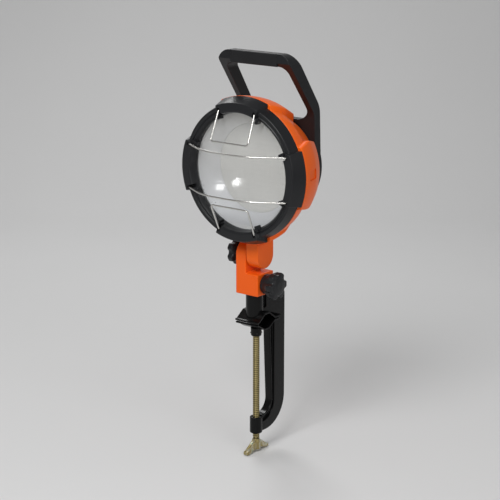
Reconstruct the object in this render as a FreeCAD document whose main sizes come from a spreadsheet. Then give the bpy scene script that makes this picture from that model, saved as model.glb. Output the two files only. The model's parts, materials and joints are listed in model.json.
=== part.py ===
import FreeCAD, Part
import math
import os

import Sketcher
from FreeCAD import Placement, Rotation, Vector

# Work light on a C-clamp, in millimetres. +Z is up and the lamp faces -Y.
# The origin is the middle of the upper jaw's flat seat, on the clamp screw's axis.

doc = FreeCAD.newDocument("work_light")
sheet = doc.addObject("Spreadsheet::Sheet", "sizes")

DRIVING_SIZES = [
    # clamp jaws
    ("jawGauge", 2.5, "thickness of both jaw plates"),
    ("upperJawWidth", 41, "upper jaw plate along X"),
    ("lowerJawWidth", 39.5, "lower jaw plate along X"),
    ("seatLength", 10, "flat seat of each vee along Y"),
    ("veeRun", 15, "length of one sloping face along Y"),
    ("upperVeeRise", 9.5, "height of the upper vee"),
    ("lowerVeeDrop", 9, "depth of the lower vee"),
    ("frontLip", 3.5, "flat lip at the front of both jaws"),
    ("upperRearLip", 14, "flat lip behind the upper vee"),
    ("lowerRearLip", 10, "flat lip behind the lower vee"),
    ("lipGap", 2.6, "gap between the closed jaws' lips"),
    ("jawSideClearance", 0.5, "slot in the lower jaw beside the frame"),
    ("jawScrewX", 9.2, "upper jaw screws beside the screw axis"),
    ("jawScrewY", 1.5, "upper jaw screws in front of the screw axis"),
    ("jawScrewShank", 3, "upper jaw screws"),
    ("jawScrewHead", 6, "upper jaw screws, countersunk"),
    ("jawScrewLength", 14, "upper jaw screws"),
    # clamp frame
    ("flangeWidth", 12.5, "frame flanges along X"),
    ("webGauge", 5, "frame web along X"),
    ("throat", 23.4, "screw axis to the spine at the jaws"),
    ("spineLean", 7.6, "how far the throat widens downwards"),
    ("spineBack", 62, "screw axis to the back of the spine"),
    ("rearFlange", 26, "thick rear part of the spine behind the groove"),
    ("frontFlange", 3, "thickness of the front flange"),
    ("slimArm", 16, "screw axis to the end of the slim part of the top arm"),
    ("armFlange", 3.5, "thickness of the lower arm's upper flange"),
    ("armGroove", 7.5, "width of the groove in the lower arm"),
    ("backShoulder", 8, "rounding at the top of the spine"),
    ("armDepth", 160.5, "seat to the top of the lower arm"),
    ("armHeight", 26, "height of the lower arm"),
    ("armReach", 11, "straight part of the lower arm"),
    ("innerBend", 20, "inner radius where spine meets lower arm"),
    ("bossDiameter", 18.8, "screw boss"),
    ("bossHeight", 25, "screw boss"),
    ("bossDrop", 1.5, "middle of the boss below the middle of the arm"),
    ("castRound", 1.2, "rounding of the casting's flange edges"),
    # clamp screw
    ("screwDiameter", 10, "thread crest of the clamp screw"),
    ("threadClearance", 0.06, "radial clearance of a thread in its nut"),
    ("collarDiameter", 16.5, "collar under the lower jaw"),
    ("collarHeight", 13, "collar under the lower jaw"),
    ("collarEngagement", 10, "length of screw inside the collar"),
    ("collarGroove", 7.4, "diameter of the retaining groove"),
    ("collarGrooveWidth", 3.4, "width of the retaining groove"),
    ("collarPin", 2.5, "diameter of the retaining pins"),
    ("screwBelowBoss", 9.5, "bare screw between boss and wing"),
    ("wingHub", 13, "hub diameter of the wing"),
    ("wingHubHeight", 17, "hub height of the wing"),
    ("wingSpan", 52, "tip to tip of the wing"),
    ("wingGauge", 8.5, "thickness of the wing along X"),
    ("wingPin", 3, "diameter of the pin through the wing"),
    # post and bracket
    ("postDiameter", 25.4, "post above the upper jaw"),
    ("postOffset", 4, "post axis in front of the screw axis"),
    ("postTop", 29.2, "shoulder of the post above the seat"),
    ("spigotDiameter", 19, "spigot inside the bracket"),
    ("spigotHeight", 26, "spigot inside the bracket"),
    ("spigotGroove", 14.6, "diameter of the groove in the spigot"),
    ("spigotGrooveWidth", 7.6, "width of the groove in the spigot"),
    ("armTopDrop", 5.2, "post shoulder to the top of the frame's arm"),
    ("runGap", 0.3, "gap between faces that slide past each other"),
    ("pivotClearance", 0.05, "radial clearance of pivots"),
    ("thrustGauge", 1, "thrust washer on the post"),
    ("bracketWidth", 40, "bracket along X"),
    ("bracketDepth", 37.5, "bracket along Y"),
    ("blockHeight", 32.5, "block of the bracket"),
    ("earGauge", 18, "ear of the bracket along X"),
    ("pivotRise", 25.3, "tilt pivot above the block"),
    ("bracketRound", 1.6, "rounding of the bracket's edges"),
    # tilt joint
    ("studDiameter", 8, "pivot stud and swivel knob stud"),
    ("discGauge", 1, "friction disc"),
    ("discDiameter", 30, "friction disc"),
    ("washerGauge", 1.2, "tilt washer"),
    ("washerDiameter", 18, "tilt washer"),
    ("knobDiameter", 40, "over the lobes of both knobs"),
    ("lobeDiameter", 12.5, "one lobe of a knob"),
    ("lobeDepth", 9.5, "lobed part of a knob along X"),
    ("knobDome", 2.2, "raised face of a knob"),
    ("tiltHubDiameter", 21, "hub of the tilt knob"),
    ("tiltHubLength", 4.5, "hub of the tilt knob"),
    ("swivelHubDiameter", 29, "hub of the swivel knob"),
    ("swivelHubLength", 14, "hub of the swivel knob"),
    ("insertDiameter", 12, "threaded inserts"),
    ("insertLength", 9, "threaded inserts"),
    ("padDiameter", 6.6, "pressure pad on the swivel stud"),
    ("padGauge", 1.6, "pressure pad on the swivel stud"),
    # lamp head, lengths along Y from the seam between ring and housing
    ("lampRise", 126.2, "lamp axis above the tilt pivot"),
    ("seamAhead", 21.5, "seam in front of the tilt pivot"),
    ("housingRadius", 100.6, "housing behind the ring"),
    ("drumRadius", 97.2, "housing where its cone begins"),
    ("drumLength", 20.5, "seam to the start of the cone"),
    ("housingLength", 73.5, "seam to the back of the housing"),
    ("rearRadius", 69, "housing at its back"),
    ("shellGauge", 2.8, "wall of the housing"),
    ("padProud", 5.6, "raised pads above the housing at the seam"),
    ("padTaper", 5.6, "how far a raised pad falls to the start of its back slope"),
    ("padAngle", 50, "angle of one raised pad"),
    ("padLength", 31, "seam to the back slope of a raised pad"),
    ("padSlope", 28, "sloping back of a raised pad"),
    ("padEnd", 87, "raised pads at their back edge"),
    ("rearOpening", 56, "radius of the housing's rear opening"),
    ("sinkRibLand", 3.2, "rib for the heat sink, inside its screws' axes"),
    ("sinkRibGauge", 3.4, "rib for the heat sink"),
    ("ringRadius", 97.8, "front of the ring between its lugs"),
    ("ringDepth", 17, "front ring along Y"),
    ("ringRound", 4, "rounding of the ring's outer front edge"),
    ("lugRadius", 98.7, "front of the ring's lugs"),
    ("lugSlope", 2.5, "how far the inside of a lug widens to its front"),
    ("lugAngle", 45, "angle of one lug"),
    ("lugProud", 5, "lugs in front of the ring"),
    ("lugRound", 2.2, "rounding of a lug"),
    ("windowRadius", 83, "opening of the front ring"),
    ("windowChamfer", 5, "slope inside the ring's front edge"),
    ("lipDepth", 10, "front lip of the ring over the window"),
    ("spigotRadius", 92, "front spigot of the housing"),
    ("spigotGauge", 4, "wall of the front spigot"),
    ("spigotSlip", 0.4, "radial slip between ring and spigot"),
    ("clipWidth", 4, "angle of one wire clip tab"),
    ("clipReach", 4, "wire clip tab inside the window radius"),
    ("clipDepth", 5, "wire clip tab along Y"),
    ("gasketDepth", 5, "window gasket along Y"),
    ("gasketInner", 84.5, "window gasket inside radius"),
    ("lensGauge", 3, "front window"),
    ("lensRim", 88.5, "front window radius"),
    ("wireDiameter", 2.6, "guard wire"),
    ("wireCircle", 92.3, "radius of the wire ends from the lamp axis"),
    ("wireAngle", 20, "angle of the wire ends from the lug middles"),
    ("wireProud", 1.3, "in front of the ring, where the wires' bends are measured from"),
    ("wireInsert", 7.5, "wire end behind that place"),
    ("notchWidth", 4.4, "slot in a lug for a wire"),
    ("notchDepth", 9, "slot in a lug for a wire, from the lug's front"),
    ("wireSlip", 0.05, "radial slip of a wire in its hole"),
    ("bowStandoff", 34, "bowed wires in front of the ring"),
    ("bowHalf", 38, "half length of the bow's middle part"),
    ("bowRadius", 90, "radius at the ends of the bow's middle part"),
    ("loopStandoff", 20.5, "loop bars in front of the ring"),
    ("loopReach", 46.2, "loop bars above and below the lamp axis"),
    ("loopHalf", 33, "half length of a loop bar"),
    ("wireBend", 4.5, "small bends of the wires"),
    # inside the lamp
    ("reflectorGauge", 1.6, "reflector wall"),
    ("discRadius", 65, "diffuser disc"),
    ("discDepth", 2, "diffuser disc"),
    ("discSetback", 26.5, "diffuser front behind the spigot's front"),
    ("ledgeWidth", 4, "ledge under the diffuser"),
    ("boardSetback", 6, "LED board behind the diffuser's front"),
    ("boardGauge", 1.6, "LED board"),
    ("boardRadius", 72, "LED board"),
    ("ledSize", 5, "one LED package"),
    ("ledHeight", 1.2, "one LED package"),
    ("ledPitch", 15, "grid of the LED packages"),
    ("ledRows", 6, "rows and columns of LED packages"),
    ("sinkGauge", 4, "heat sink base"),
    ("mouthSlip", 1, "reflector mouth inside the spigot"),
    ("sinkRadius", 84.6, "heat sink base"),
    ("finHeight", 22, "heat sink fins"),
    ("finGauge", 2, "heat sink fins"),
    ("finPitch", 10, "heat sink fins"),
    ("finCount", 11, "heat sink fins"),
    ("finLength", 84, "heat sink fins"),
    ("driverWidth", 64, "driver case along X"),
    ("driverHeight", 42, "driver case along Z"),
    ("driverDepth", 20, "driver case along Y"),
    ("screwShank", 4, "diameter of the small screws"),
    ("screwHead", 7.5, "head diameter of the small screws"),
    ("screwHeadHeight", 3, "head height of the small screws"),
    ("screwSlip", 0.1, "radial slip of the small screws"),
    ("stemScrewPitch", 16, "distance between the stem screws"),
    ("stemScrewGrip", 10, "length of the stem screws in the stem"),
    # handle
    ("plateRadius", 71, "round rear plate"),
    ("plateDepth", 14, "round rear plate along Y"),
    ("plateWall", 4, "back wall of the rear plate"),
    ("plateRim", 12, "rim of the rear plate"),
    ("rearGasketGauge", 1, "gasket between housing and rear plate"),
    ("legOutside", 63, "outside of the handle's legs at the bar"),
    ("legFlare", 5, "how far each leg spreads down to the lamp axis"),
    ("legWidth", 9.5, "leg along X"),
    ("webRise", 67, "top of the solid web above the lamp axis"),
    ("bendRise", 77, "front of the legs, start of the lean above the lamp axis"),
    ("rearBendRise", 86, "back of the legs, start of the lean above the lamp axis"),
    ("handleRise", 166, "top of the handle above the lamp axis"),
    ("handleLean", 56.6, "how far the bar stands in front of the plate"),
    ("barDepth", 15.5, "grip along Y"),
    ("barHeight", 18, "grip along Z"),
    ("barNose", 13, "front face of the handle's corners along Z"),
    ("cornerOutside", 20, "outer corner radius of the handle"),
    ("cornerInside", 12, "upper inner corner radius of the handle"),
    ("webCorner", 20, "lower inner corner radius of the handle"),
    ("bendRound", 20, "rounding where the legs lean forward"),
    ("rearBendRound", 30, "rounding of the legs' backs where they lean"),
    ("gripLength", 82, "grip on the bar"),
    ("gripGauge", 1.1, "wall of the grip"),
    ("gripSlip", 0.05, "slip between grip and bar"),
    # cable gland
    ("glandDrop", 38, "gland below the lamp axis"),
    ("glandThread", 16, "thread diameter of the gland"),
    ("glandFlats", 22, "across the gland's hexagon"),
    ("glandHex", 5, "hexagon along Y"),
    ("glandNut", 11, "dome nut along Y"),
    ("glandBushBore", 7.6, "cable bore of the rubber bush"),
    ("glandBushDiameter", 12, "rubber bush"),
    ("lockNut", 3.2, "lock nut inside the plate"),
]

for row, (alias, number, note) in enumerate(DRIVING_SIZES, start=1):
    sheet.set("A%d" % row, alias)
    sheet.set("B%d" % row, str(number))
    sheet.set("C%d" % row, note)
    sheet.setAlias("B%d" % row, alias)
doc.recompute()


class Size:
    """A length or angle known as a number and as a spreadsheet expression."""

    def __init__(self, text, value):
        self.text = text
        self.value = value

    def join(self, other, sign, value):
        return Size("(%s %s %s)" % (self.text, sign, other.text), value)

    def __add__(self, other):
        other = sized(other)
        return self.join(other, "+", self.value + other.value)

    def __radd__(self, other):
        return sized(other) + self

    def __sub__(self, other):
        other = sized(other)
        return self.join(other, "-", self.value - other.value)

    def __rsub__(self, other):
        return sized(other) - self

    def __mul__(self, other):
        other = sized(other)
        return self.join(other, "*", self.value * other.value)

    def __rmul__(self, other):
        return sized(other) * self

    def __truediv__(self, other):
        other = sized(other)
        return self.join(other, "/", self.value / other.value)

    def __neg__(self):
        return Size("(0 - %s)" % self.text, -self.value)


def sized(thing):
    """A plain number as a Size; a Size as it is."""
    if isinstance(thing, Size):
        return thing
    return Size(repr(float(thing)), float(thing))


def size(alias):
    return Size("sizes." + alias, float(sheet.get(alias)))


def sine(angle):
    return Size("sin(%s)" % angle.text, math.sin(math.radians(angle.value)))


def cosine(angle):
    return Size("cos(%s)" % angle.text, math.cos(math.radians(angle.value)))


def root(number):
    return Size("sqrt(%s)" % number.text, math.sqrt(number.value))


def bind(target, prop, amount):
    """Ties a property to its expression."""
    target.setExpression(prop, sized(amount).text)


# ---------------------------------------------------------------- helpers

HALF = 0.5
ACROSS_X = Rotation(Vector(0, 1, 0), 90)      # local Z runs along +X
ACROSS_Y = Rotation(Vector(1, 0, 0), -90)     # local Z runs along +Y
UPRIGHT = Rotation()
finished = []


def place(item, x=0, y=0, z=0, turn=UPRIGHT):
    """Gives an object its place, bound to the sheet."""
    item.Placement = Placement(Vector(sized(x).value, sized(y).value, sized(z).value), turn)
    for axis, amount in (("x", x), ("y", y), ("z", z)):
        bind(item, "Placement.Base." + axis, amount)


def keep(item, label):
    """Marks an object as a finished sub-part and names its node."""
    item.Label = label
    finished.append(item)
    return item


def new_body(name):
    body = doc.addObject("PartDesign::Body", name)
    body.AllowCompound = True
    return body


def origin_plane(body, role):
    for feature in body.Origin.OriginFeatures:
        if feature.Role == role:
            return feature
    raise RuntimeError("no plane " + role)


def new_sketch(body, role, lift=0, spin=None):
    """A sketch on an origin plane, lifted along its normal or spun about its vertical axis."""
    sketch = body.newObject("Sketcher::SketchObject", body.Name + "_sketch")
    sketch.AttachmentSupport = [(origin_plane(body, role), "")]
    sketch.MapMode = "FlatFace"
    turn = Rotation(Vector(0, 1, 0), sized(spin).value) if spin is not None else UPRIGHT
    sketch.AttachmentOffset = Placement(Vector(0, 0, sized(lift).value), turn)
    if spin is None:
        bind(sketch, "AttachmentOffset.Base.z", lift)
    else:
        bind(sketch, "AttachmentOffset.Rotation.Angle", spin)
    return sketch


def pin_point(sketch, geometry, vertex, x, y):
    """Fixes one vertex at expressions measured from the sketch's origin."""
    for kind, amount in (("DistanceX", sized(x)), ("DistanceY", sized(y))):
        index = sketch.addConstraint(
            Sketcher.Constraint(kind, -1, 1, geometry, vertex, amount.value))
        sketch.setExpression("Constraints[%d]" % index, amount.text)


def corner_points(corner, before, after):
    """Start, end and middle of the arc that rounds a corner, and its centre."""
    here = Vector(corner[0].value, corner[1].value, 0)
    back = (Vector(before[0].value, before[1].value, 0) - here).normalize()
    ahead = (Vector(after[0].value, after[1].value, 0) - here).normalize()
    half = back.getAngle(ahead) / 2
    radius = corner[2].value
    middle = (back + ahead).normalize()
    centre = here + middle * (radius / math.sin(half))
    reach = radius / math.tan(half)
    return here + back * reach, here + ahead * reach, centre - middle * radius, centre


def outline(sketch, corners):
    """A closed outline through corners (x, y) or, rounded, (x, y, radius)."""
    corners = [tuple(sized(part) for part in corner) for corner in corners]
    count = len(corners)
    starts, ends, arcs = [], [], []
    for i, corner in enumerate(corners):
        here = Vector(corner[0].value, corner[1].value, 0)
        arc = None
        start = end = here
        if len(corner) == 3:
            start, end, middle, centre = corner_points(corner, corners[i - 1], corners[(i + 1) % count])
            arc = Part.Arc(start, middle, end)
        starts.append(start)
        ends.append(end)
        arcs.append(arc)
    lines = []
    for i in range(count):
        lines.append(sketch.addGeometry(Part.LineSegment(ends[i], starts[(i + 1) % count])))
    for i, corner in enumerate(corners):
        before, after = lines[i - 1], lines[i]
        if arcs[i] is None:
            sketch.addConstraint(Sketcher.Constraint("Coincident", before, 2, after, 1))
            pin_point(sketch, after, 1, corner[0], corner[1])
            continue
        apex = sketch.addGeometry(Part.Point(Vector(corner[0].value, corner[1].value, 0)))
        sketch.setConstruction(apex, True)
        pin_point(sketch, apex, 1, corner[0], corner[1])
        arc = sketch.addGeometry(arcs[i])
        # the arc may run either way round: its first vertex meets the nearer line end
        first = sketch.getPoint(arc, 1)
        near, far = (1, 2) if first.distanceToPoint(starts[i]) < first.distanceToPoint(ends[i]) else (2, 1)
        sketch.addConstraint(Sketcher.Constraint("PointOnObject", apex, 1, before))
        sketch.addConstraint(Sketcher.Constraint("PointOnObject", apex, 1, after))
        sketch.addConstraint(Sketcher.Constraint("Tangent", before, 2, arc, near))
        sketch.addConstraint(Sketcher.Constraint("Tangent", arc, far, after, 1))
        index = sketch.addConstraint(Sketcher.Constraint("Radius", arc, corner[2].value))
        sketch.setExpression("Constraints[%d]" % index, corner[2].text)


def circle(sketch, x, y, radius):
    x, y, radius = sized(x), sized(y), sized(radius)
    index = sketch.addGeometry(
        Part.Circle(Vector(x.value, y.value, 0), Vector(0, 0, 1), radius.value))
    pin_point(sketch, index, 3, x, y)
    constraint = sketch.addConstraint(Sketcher.Constraint("Radius", index, radius.value))
    sketch.setExpression("Constraints[%d]" % constraint, radius.text)


def feature(body, kind, sketch):
    item = body.newObject("PartDesign::" + kind, body.Name + "_" + kind.lower())
    item.Profile = sketch
    sketch.Visibility = False
    body.Tip = item
    return item


def pad(body, sketch, length, middle=False):
    """Pads a sketch along its normal, or half to each side."""
    item = feature(body, "Pad", sketch)
    bind(item, "Length", length)
    item.Length = sized(length).value
    item.SideType = "Symmetric" if middle else "One side"
    return item


def pocket(body, sketch, depth, middle=False, forward=False):
    """Cuts a sketch against its normal, along it, or half to each side."""
    item = feature(body, "Pocket", sketch)
    item.Type = "Length"
    item.SideType = "Symmetric" if middle else "One side"
    item.Length = sized(depth).value
    bind(item, "Length", depth)
    item.Reversed = forward
    return item


def revolve(body, sketch, angle=360):
    item = feature(body, "Revolution", sketch)
    item.ReferenceAxis = (sketch, ["V_Axis"])
    if angle == 360:
        item.Angle = 360
    else:
        item.Midplane = True
        item.Angle = angle.value
        bind(item, "Angle", angle)
    return item


def repeat_round(body, features, count):
    """Repeats features round the body's own Z axis."""
    item = body.newObject("PartDesign::PolarPattern", body.Name + "_round")
    item.Originals = features
    item.Axis = (origin_axis(body, "Z_Axis"), [""])
    item.Angle = 360
    item.Occurrences = count
    body.Tip = item
    return item


def origin_axis(body, role):
    for axis in body.Origin.OriginFeatures:
        if axis.Role == role:
            return axis
    raise RuntimeError("no axis " + role)


def repeat_line(body, features, role, pitch, count):
    """Repeats features along one of the body's own axes."""
    item = body.newObject("PartDesign::LinearPattern", body.Name + "_row")
    item.Originals = features
    item.Direction = (origin_axis(body, role), [""])
    item.Length = (pitch * (count - 1)).value
    bind(item, "Length", pitch * (count - 1))
    item.Occurrences = int(count.value)
    body.Tip = item
    return item


def turned(name, corners):
    """A solid of revolution about local Z from corners (radius, z)."""
    body = new_body(name)
    sketch = new_sketch(body, "XZ_Plane")
    outline(sketch, corners)
    revolve(body, sketch)
    return body


def plate(name, role, corners, length, lift=0, middle=True):
    """A padded outline."""
    body = new_body(name)
    sketch = new_sketch(body, role, lift)
    outline(sketch, corners)
    pad(body, sketch, length, middle)
    return body


def tube(name, outer, inner, low, high):
    """A washer, ring or sleeve about local Z."""
    return turned(name, [(inner, low), (outer, low), (outer, high), (inner, high)])


def rod(name, radius, low, high):
    return turned(name, [(0, low), (radius, low), (radius, high), (0, high)])


def round_edges(body, radius, wanted):
    """Rounds the edges of the body's last feature that the test picks."""
    doc.recompute()
    base = body.Tip
    names = ["Edge%d" % (i + 1) for i, edge in enumerate(base.Shape.Edges) if wanted(edge)]
    item = body.newObject("PartDesign::Fillet", body.Name + "_round")
    item.Base = (base, names)
    item.Radius = sized(radius).value
    bind(item, "Radius", radius)
    body.Tip = item
    return item


def join(name, kind, pieces):
    """A boolean of whole objects: Part::Cut, Part::Common or Part::MultiFuse."""
    item = doc.addObject(kind, name)
    if kind == "Part::MultiFuse":
        item.Shapes = pieces
    else:
        item.Base, item.Tool = pieces
    return item


def middle_of(edge):
    box = edge.BoundBox
    return Vector((box.XMin + box.XMax) / 2, (box.YMin + box.YMax) / 2, (box.ZMin + box.ZMax) / 2)


def runs_along(edge, axis):
    """True for an edge that is straight along local X, Y or Z."""
    box = edge.BoundBox
    spans = [box.XLength, box.YLength, box.ZLength]
    long_way = spans.pop(axis)
    return long_way > 0.5 and max(spans) < 0.001


# ---------------------------------------------------------------- shared sizes

gauge = size("jawGauge")
seatHalf = size("seatLength") * HALF
footY = seatHalf + size("veeRun")
frontY = footY + size("frontLip")
upperRearY = footY + size("upperRearLip")
lowerRearY = footY + size("lowerRearLip")
lipUnder = -size("upperVeeRise")
lowerLipTop = lipUnder - size("lipGap")
lowerSeatTop = lowerLipTop - size("lowerVeeDrop")
collarTop = lowerSeatTop - gauge
collarBottom = collarTop - size("collarHeight")
armTop = size("postTop") - size("armTopDrop")
armUpper = -size("armDepth")
armLower = armUpper - size("armHeight")
outerBend = size("armHeight") + size("innerBend")
throatLow = size("throat") + size("spineLean")
bossMiddle = (armUpper + armLower) * HALF - size("bossDrop")
bossTop = bossMiddle + size("bossHeight") * HALF
bossBottom = bossTop - size("bossHeight")
postY = -size("postOffset")
blockBottom = size("postTop") + size("thrustGauge") + size("runGap")
blockTop = blockBottom + size("blockHeight")
pivotZ = blockTop + size("pivotRise")
halfWidth = size("bracketWidth") * HALF
halfDepth = size("bracketDepth") * HALF
earInner = -halfWidth + size("earGauge")
stemInner = earInner + size("runGap") + size("discGauge")
studRadius = size("studDiameter") * HALF
pivotSlip = size("pivotClearance")
swivelZ = (blockBottom + blockTop) * HALF
lampZ = pivotZ + size("lampRise")
seamY = postY - size("seamAhead")
lugFront = -size("ringDepth") - size("lugProud")
wireFront = -size("ringDepth") - size("wireProud")


def place_head(item):
    """Head pieces: local Z runs back along +Y from the seam, on the lamp axis."""
    place(item, 0, seamY, lampZ, ACROSS_Y)


def place_behind(item):
    """Head pieces drawn upright, measured from the seam and the lamp axis."""
    place(item, 0, seamY, lampZ)


# ---------------------------------------------------------------- clamp

def jaw_slot(body, width, clearance):
    """The slot at the back of a jaw that straddles the frame's front flange."""
    sketch = new_sketch(body, "XY_Plane", lift=size("upperVeeRise") * 2)
    slotHalf = width * HALF
    slotFront = size("throat") - clearance
    outline(sketch, [(-slotHalf, slotFront), (slotHalf, slotFront),
                     (slotHalf, frontY + upperRearY), (-slotHalf, frontY + upperRearY)])
    pocket(body, sketch, size("armDepth"))


def pin_hole(body, x, y, radius, depth, lift, role="XY_Plane"):
    """A round pocket cut down from a lifted plane."""
    sketch = new_sketch(body, role, lift)
    circle(sketch, x, y, radius)
    pocket(body, sketch, depth)


screwRadius = size("screwShank") * HALF


def countersunk(name, grow, length):
    """Two countersunk screws, or with some growth the holes for them."""
    head = size("jawScrewHead") * HALF + grow
    shank = size("jawScrewShank") * HALF + grow
    blank = turned(name + "_one", [
        (0, 0), (head, 0), (shank, head - shank), (shank, length), (0, length)])
    other = doc.addObject("Part::Mirroring", name + "_other")
    place(blank, size("jawScrewX"), -size("jawScrewY"), 0)
    other.Source = blank
    other.Normal = Vector(1, 0, 0)
    both = doc.addObject("Part::Compound", name)
    both.Links = [blank, other]
    return both


def upper_jaw():
    body = plate("upper_jaw_plate", "YZ_Plane", [
        (-frontY, lipUnder), (-footY, lipUnder), (-seatHalf, 0), (seatHalf, 0),
        (footY, lipUnder), (upperRearY, lipUnder), (upperRearY, lipUnder + gauge),
        (footY, lipUnder + gauge), (seatHalf, gauge), (-seatHalf, gauge),
        (-footY, lipUnder + gauge), (-frontY, lipUnder + gauge)], size("upperJawWidth"))
    jaw_slot(body, size("flangeWidth") + size("runGap"), size("runGap"))
    holes = countersunk("upper_jaw_holes", size("screwSlip") * HALF, gauge * 2)
    return keep(join("upper_jaw", "Part::Cut", (body, holes)), "upper_jaw")


def jaw_screws():
    """Two countersunk screws that hold the upper jaw to the post."""
    return keep(countersunk("jaw_screws", 0, size("jawScrewLength")), "jaw_screws")


def clamp_frame():
    """C-shaped casting: arm, spine with recessed web, lower arm and screw boss."""
    inside = postY
    profile = [
        (inside, gauge), (seatHalf, gauge), (footY, lipUnder + gauge),
        (size("throat"), lipUnder + gauge), (throatLow, armUpper, size("innerBend")),
        (0, armUpper), (0, armLower), (size("spineBack"), armLower, outerBend),
        (size("spineBack"), armTop, size("backShoulder")), (inside, armTop)]
    body = plate("clamp_frame", "YZ_Plane", profile, size("flangeWidth"))
    pocketDepth = (size("flangeWidth") - size("webGauge")) * HALF
    back = size("spineBack") - size("rearFlange")
    frontGap = size("frontFlange")
    flange = size("armFlange")
    grooveLow = armUpper - flange - size("armGroove")
    bossEdge = size("bossDiameter") * HALF * 0.7  # inside the boss, which fills it again
    lower = [
        (size("throat") + frontGap, lipUnder * 1.4),
        (throatLow + frontGap, armUpper - flange, size("innerBend") + flange),
        (bossEdge, armUpper - flange), (bossEdge, grooveLow),
        (back, grooveLow, size("innerBend") + flange + size("armGroove") * HALF), (back, lipUnder * 1.4)]
    slim = size("postDiameter") * 0.25
    upper = [
        (slim, gauge * 2), (size("slimArm"), gauge * 2), (size("slimArm"), armTop + gauge), (slim, armTop + gauge)]
    for side in (1, -1):
        for corners in (lower, upper):
            sketch = new_sketch(body, "YZ_Plane", lift=size("webGauge") * HALF * side)
            outline(sketch, corners)
            pocket(body, sketch, pocketDepth * 2, forward=(side == 1))
    boss = new_sketch(body, "XY_Plane", lift=bossTop)
    circle(boss, 0, 0, size("bossDiameter") * HALF)
    pad(body, boss, size("bossHeight")).Reversed = True
    body.Tip.Label = "boss"
    bore = new_sketch(body, "XY_Plane", lift=armUpper + gauge)
    circle(bore, 0, 0, size("screwDiameter") * HALF + size("threadClearance"))
    pocket(body, bore, armUpper - bossBottom + gauge * 2)
    return keep(body, "clamp_frame")


def swivel_post():
    """Post on the upper jaw, with a grooved spigot for the bracket."""
    radius = size("postDiameter") * HALF
    spigot = size("spigotDiameter") * HALF
    groove = size("spigotGroove") * HALF
    halfGroove = size("spigotGrooveWidth") * HALF
    top = size("postTop")
    chamfer = size("castRound")
    blank = turned("post_blank", [
        (0, lipUnder), (radius, lipUnder), (radius, top - chamfer), (radius - chamfer, top),
        (spigot, top), (spigot, swivelZ - halfGroove), (groove, swivelZ - halfGroove),
        (groove, swivelZ + halfGroove), (spigot, swivelZ + halfGroove),
        (spigot, top + size("spigotHeight") - chamfer), (spigot - chamfer, top + size("spigotHeight")),
        (0, top + size("spigotHeight"))])
    place(blank, 0, postY, 0)
    reach = size("upperJawWidth")
    saddle = plate("post_saddle", "YZ_Plane", [
        (-footY - reach, lipUnder + gauge), (-footY, lipUnder + gauge), (-seatHalf, gauge),
        (seatHalf, gauge), (footY, lipUnder + gauge), (footY + reach, lipUnder + gauge),
        (footY + reach, lipUnder - reach), (-footY - reach, lipUnder - reach)], reach)
    slot = plate("post_arm_slot", "YZ_Plane", [
        (postY, lipUnder), (radius * 2, lipUnder), (radius * 2, armTop), (postY, armTop)],
        size("flangeWidth"))
    holes = countersunk("post_screw_holes", size("screwSlip") * HALF, size("jawScrewLength") + size("runGap"))
    cutter = join("post_cutter", "Part::MultiFuse", [saddle, slot, holes])
    return keep(join("swivel_post", "Part::Cut", (blank, cutter)), "swivel_post")


def thrust_washer():
    body = tube("thrust_washer", size("postDiameter") * HALF, size("spigotDiameter") * HALF + pivotSlip,
                size("postTop"), size("postTop") + size("thrustGauge"))
    place(body, 0, postY, 0)
    return keep(body, "thrust_washer")


def lower_jaw():
    body = plate("lower_jaw", "YZ_Plane", [
        (-frontY, lowerLipTop), (-footY, lowerLipTop), (-seatHalf, lowerSeatTop),
        (seatHalf, lowerSeatTop), (footY, lowerLipTop), (lowerRearY, lowerLipTop),
        (lowerRearY, lowerLipTop - gauge), (footY, lowerLipTop - gauge),
        (seatHalf, lowerSeatTop - gauge), (-seatHalf, lowerSeatTop - gauge),
        (-footY, lowerLipTop - gauge), (-frontY, lowerLipTop - gauge)], size("lowerJawWidth"))
    clearance = size("jawSideClearance")
    jaw_slot(body, size("flangeWidth") + clearance * 2, clearance * 2)
    pin_hole(body, 0, 0, screwRadius + size("screwSlip"), gauge * 2, lowerSeatTop + gauge)
    return keep(body, "lower_jaw")


grooveMiddle = collarBottom + size("collarEngagement") * HALF
pinRadius = size("collarPin") * HALF
pinY = size("collarGroove") * HALF + pinRadius + size("runGap") * HALF


def jaw_collar():
    """Collar under the lower jaw, bored for the end of the clamp screw."""
    outer = size("collarDiameter") * HALF
    bore = size("screwDiameter") * HALF + size("pivotClearance")
    mouth = collarBottom + size("collarEngagement") + size("runGap")
    body = turned("jaw_collar", [
        (bore, collarBottom), (outer - size("castRound") * 2, collarBottom),
        (outer, collarBottom + size("castRound") * 2), (outer, collarTop),
        (screwRadius + size("screwSlip"), collarTop), (screwRadius + size("screwSlip"), mouth),
        (bore, mouth)])
    holes = new_sketch(body, "YZ_Plane")
    for side in (1, -1):
        circle(holes, pinY * side, grooveMiddle, pinRadius + size("screwSlip") * HALF)
    pocket(body, holes, size("collarDiameter") * 2, middle=True)
    return keep(body, "jaw_collar")


def collar_pins():
    """Two pins across the collar that run in the screw's groove."""
    body = new_body("collar_pins")
    sketch = new_sketch(body, "YZ_Plane")
    for side in (1, -1):
        circle(sketch, pinY * side, grooveMiddle, pinRadius)
    chord = root(size("collarDiameter") * size("collarDiameter") * 0.25 - pinY * pinY)
    pad(body, sketch, (chord - size("runGap")) * 2, middle=True)
    return keep(body, "collar_pins")


def jaw_rivet():
    """Rivet through the lower jaw into its collar."""
    mouth = collarBottom + size("collarEngagement") + size("runGap")
    head = seatHalf * 0.8
    body = turned("jaw_rivet", [
        (0, mouth), (screwRadius, mouth), (screwRadius, lowerSeatTop), (head, lowerSeatTop),
        (head, lowerSeatTop + size("castRound") * HALF), (screwRadius, lowerSeatTop + size("castRound")),
        (0, lowerSeatTop + size("castRound"))])
    return keep(body, "jaw_rivet")


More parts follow.
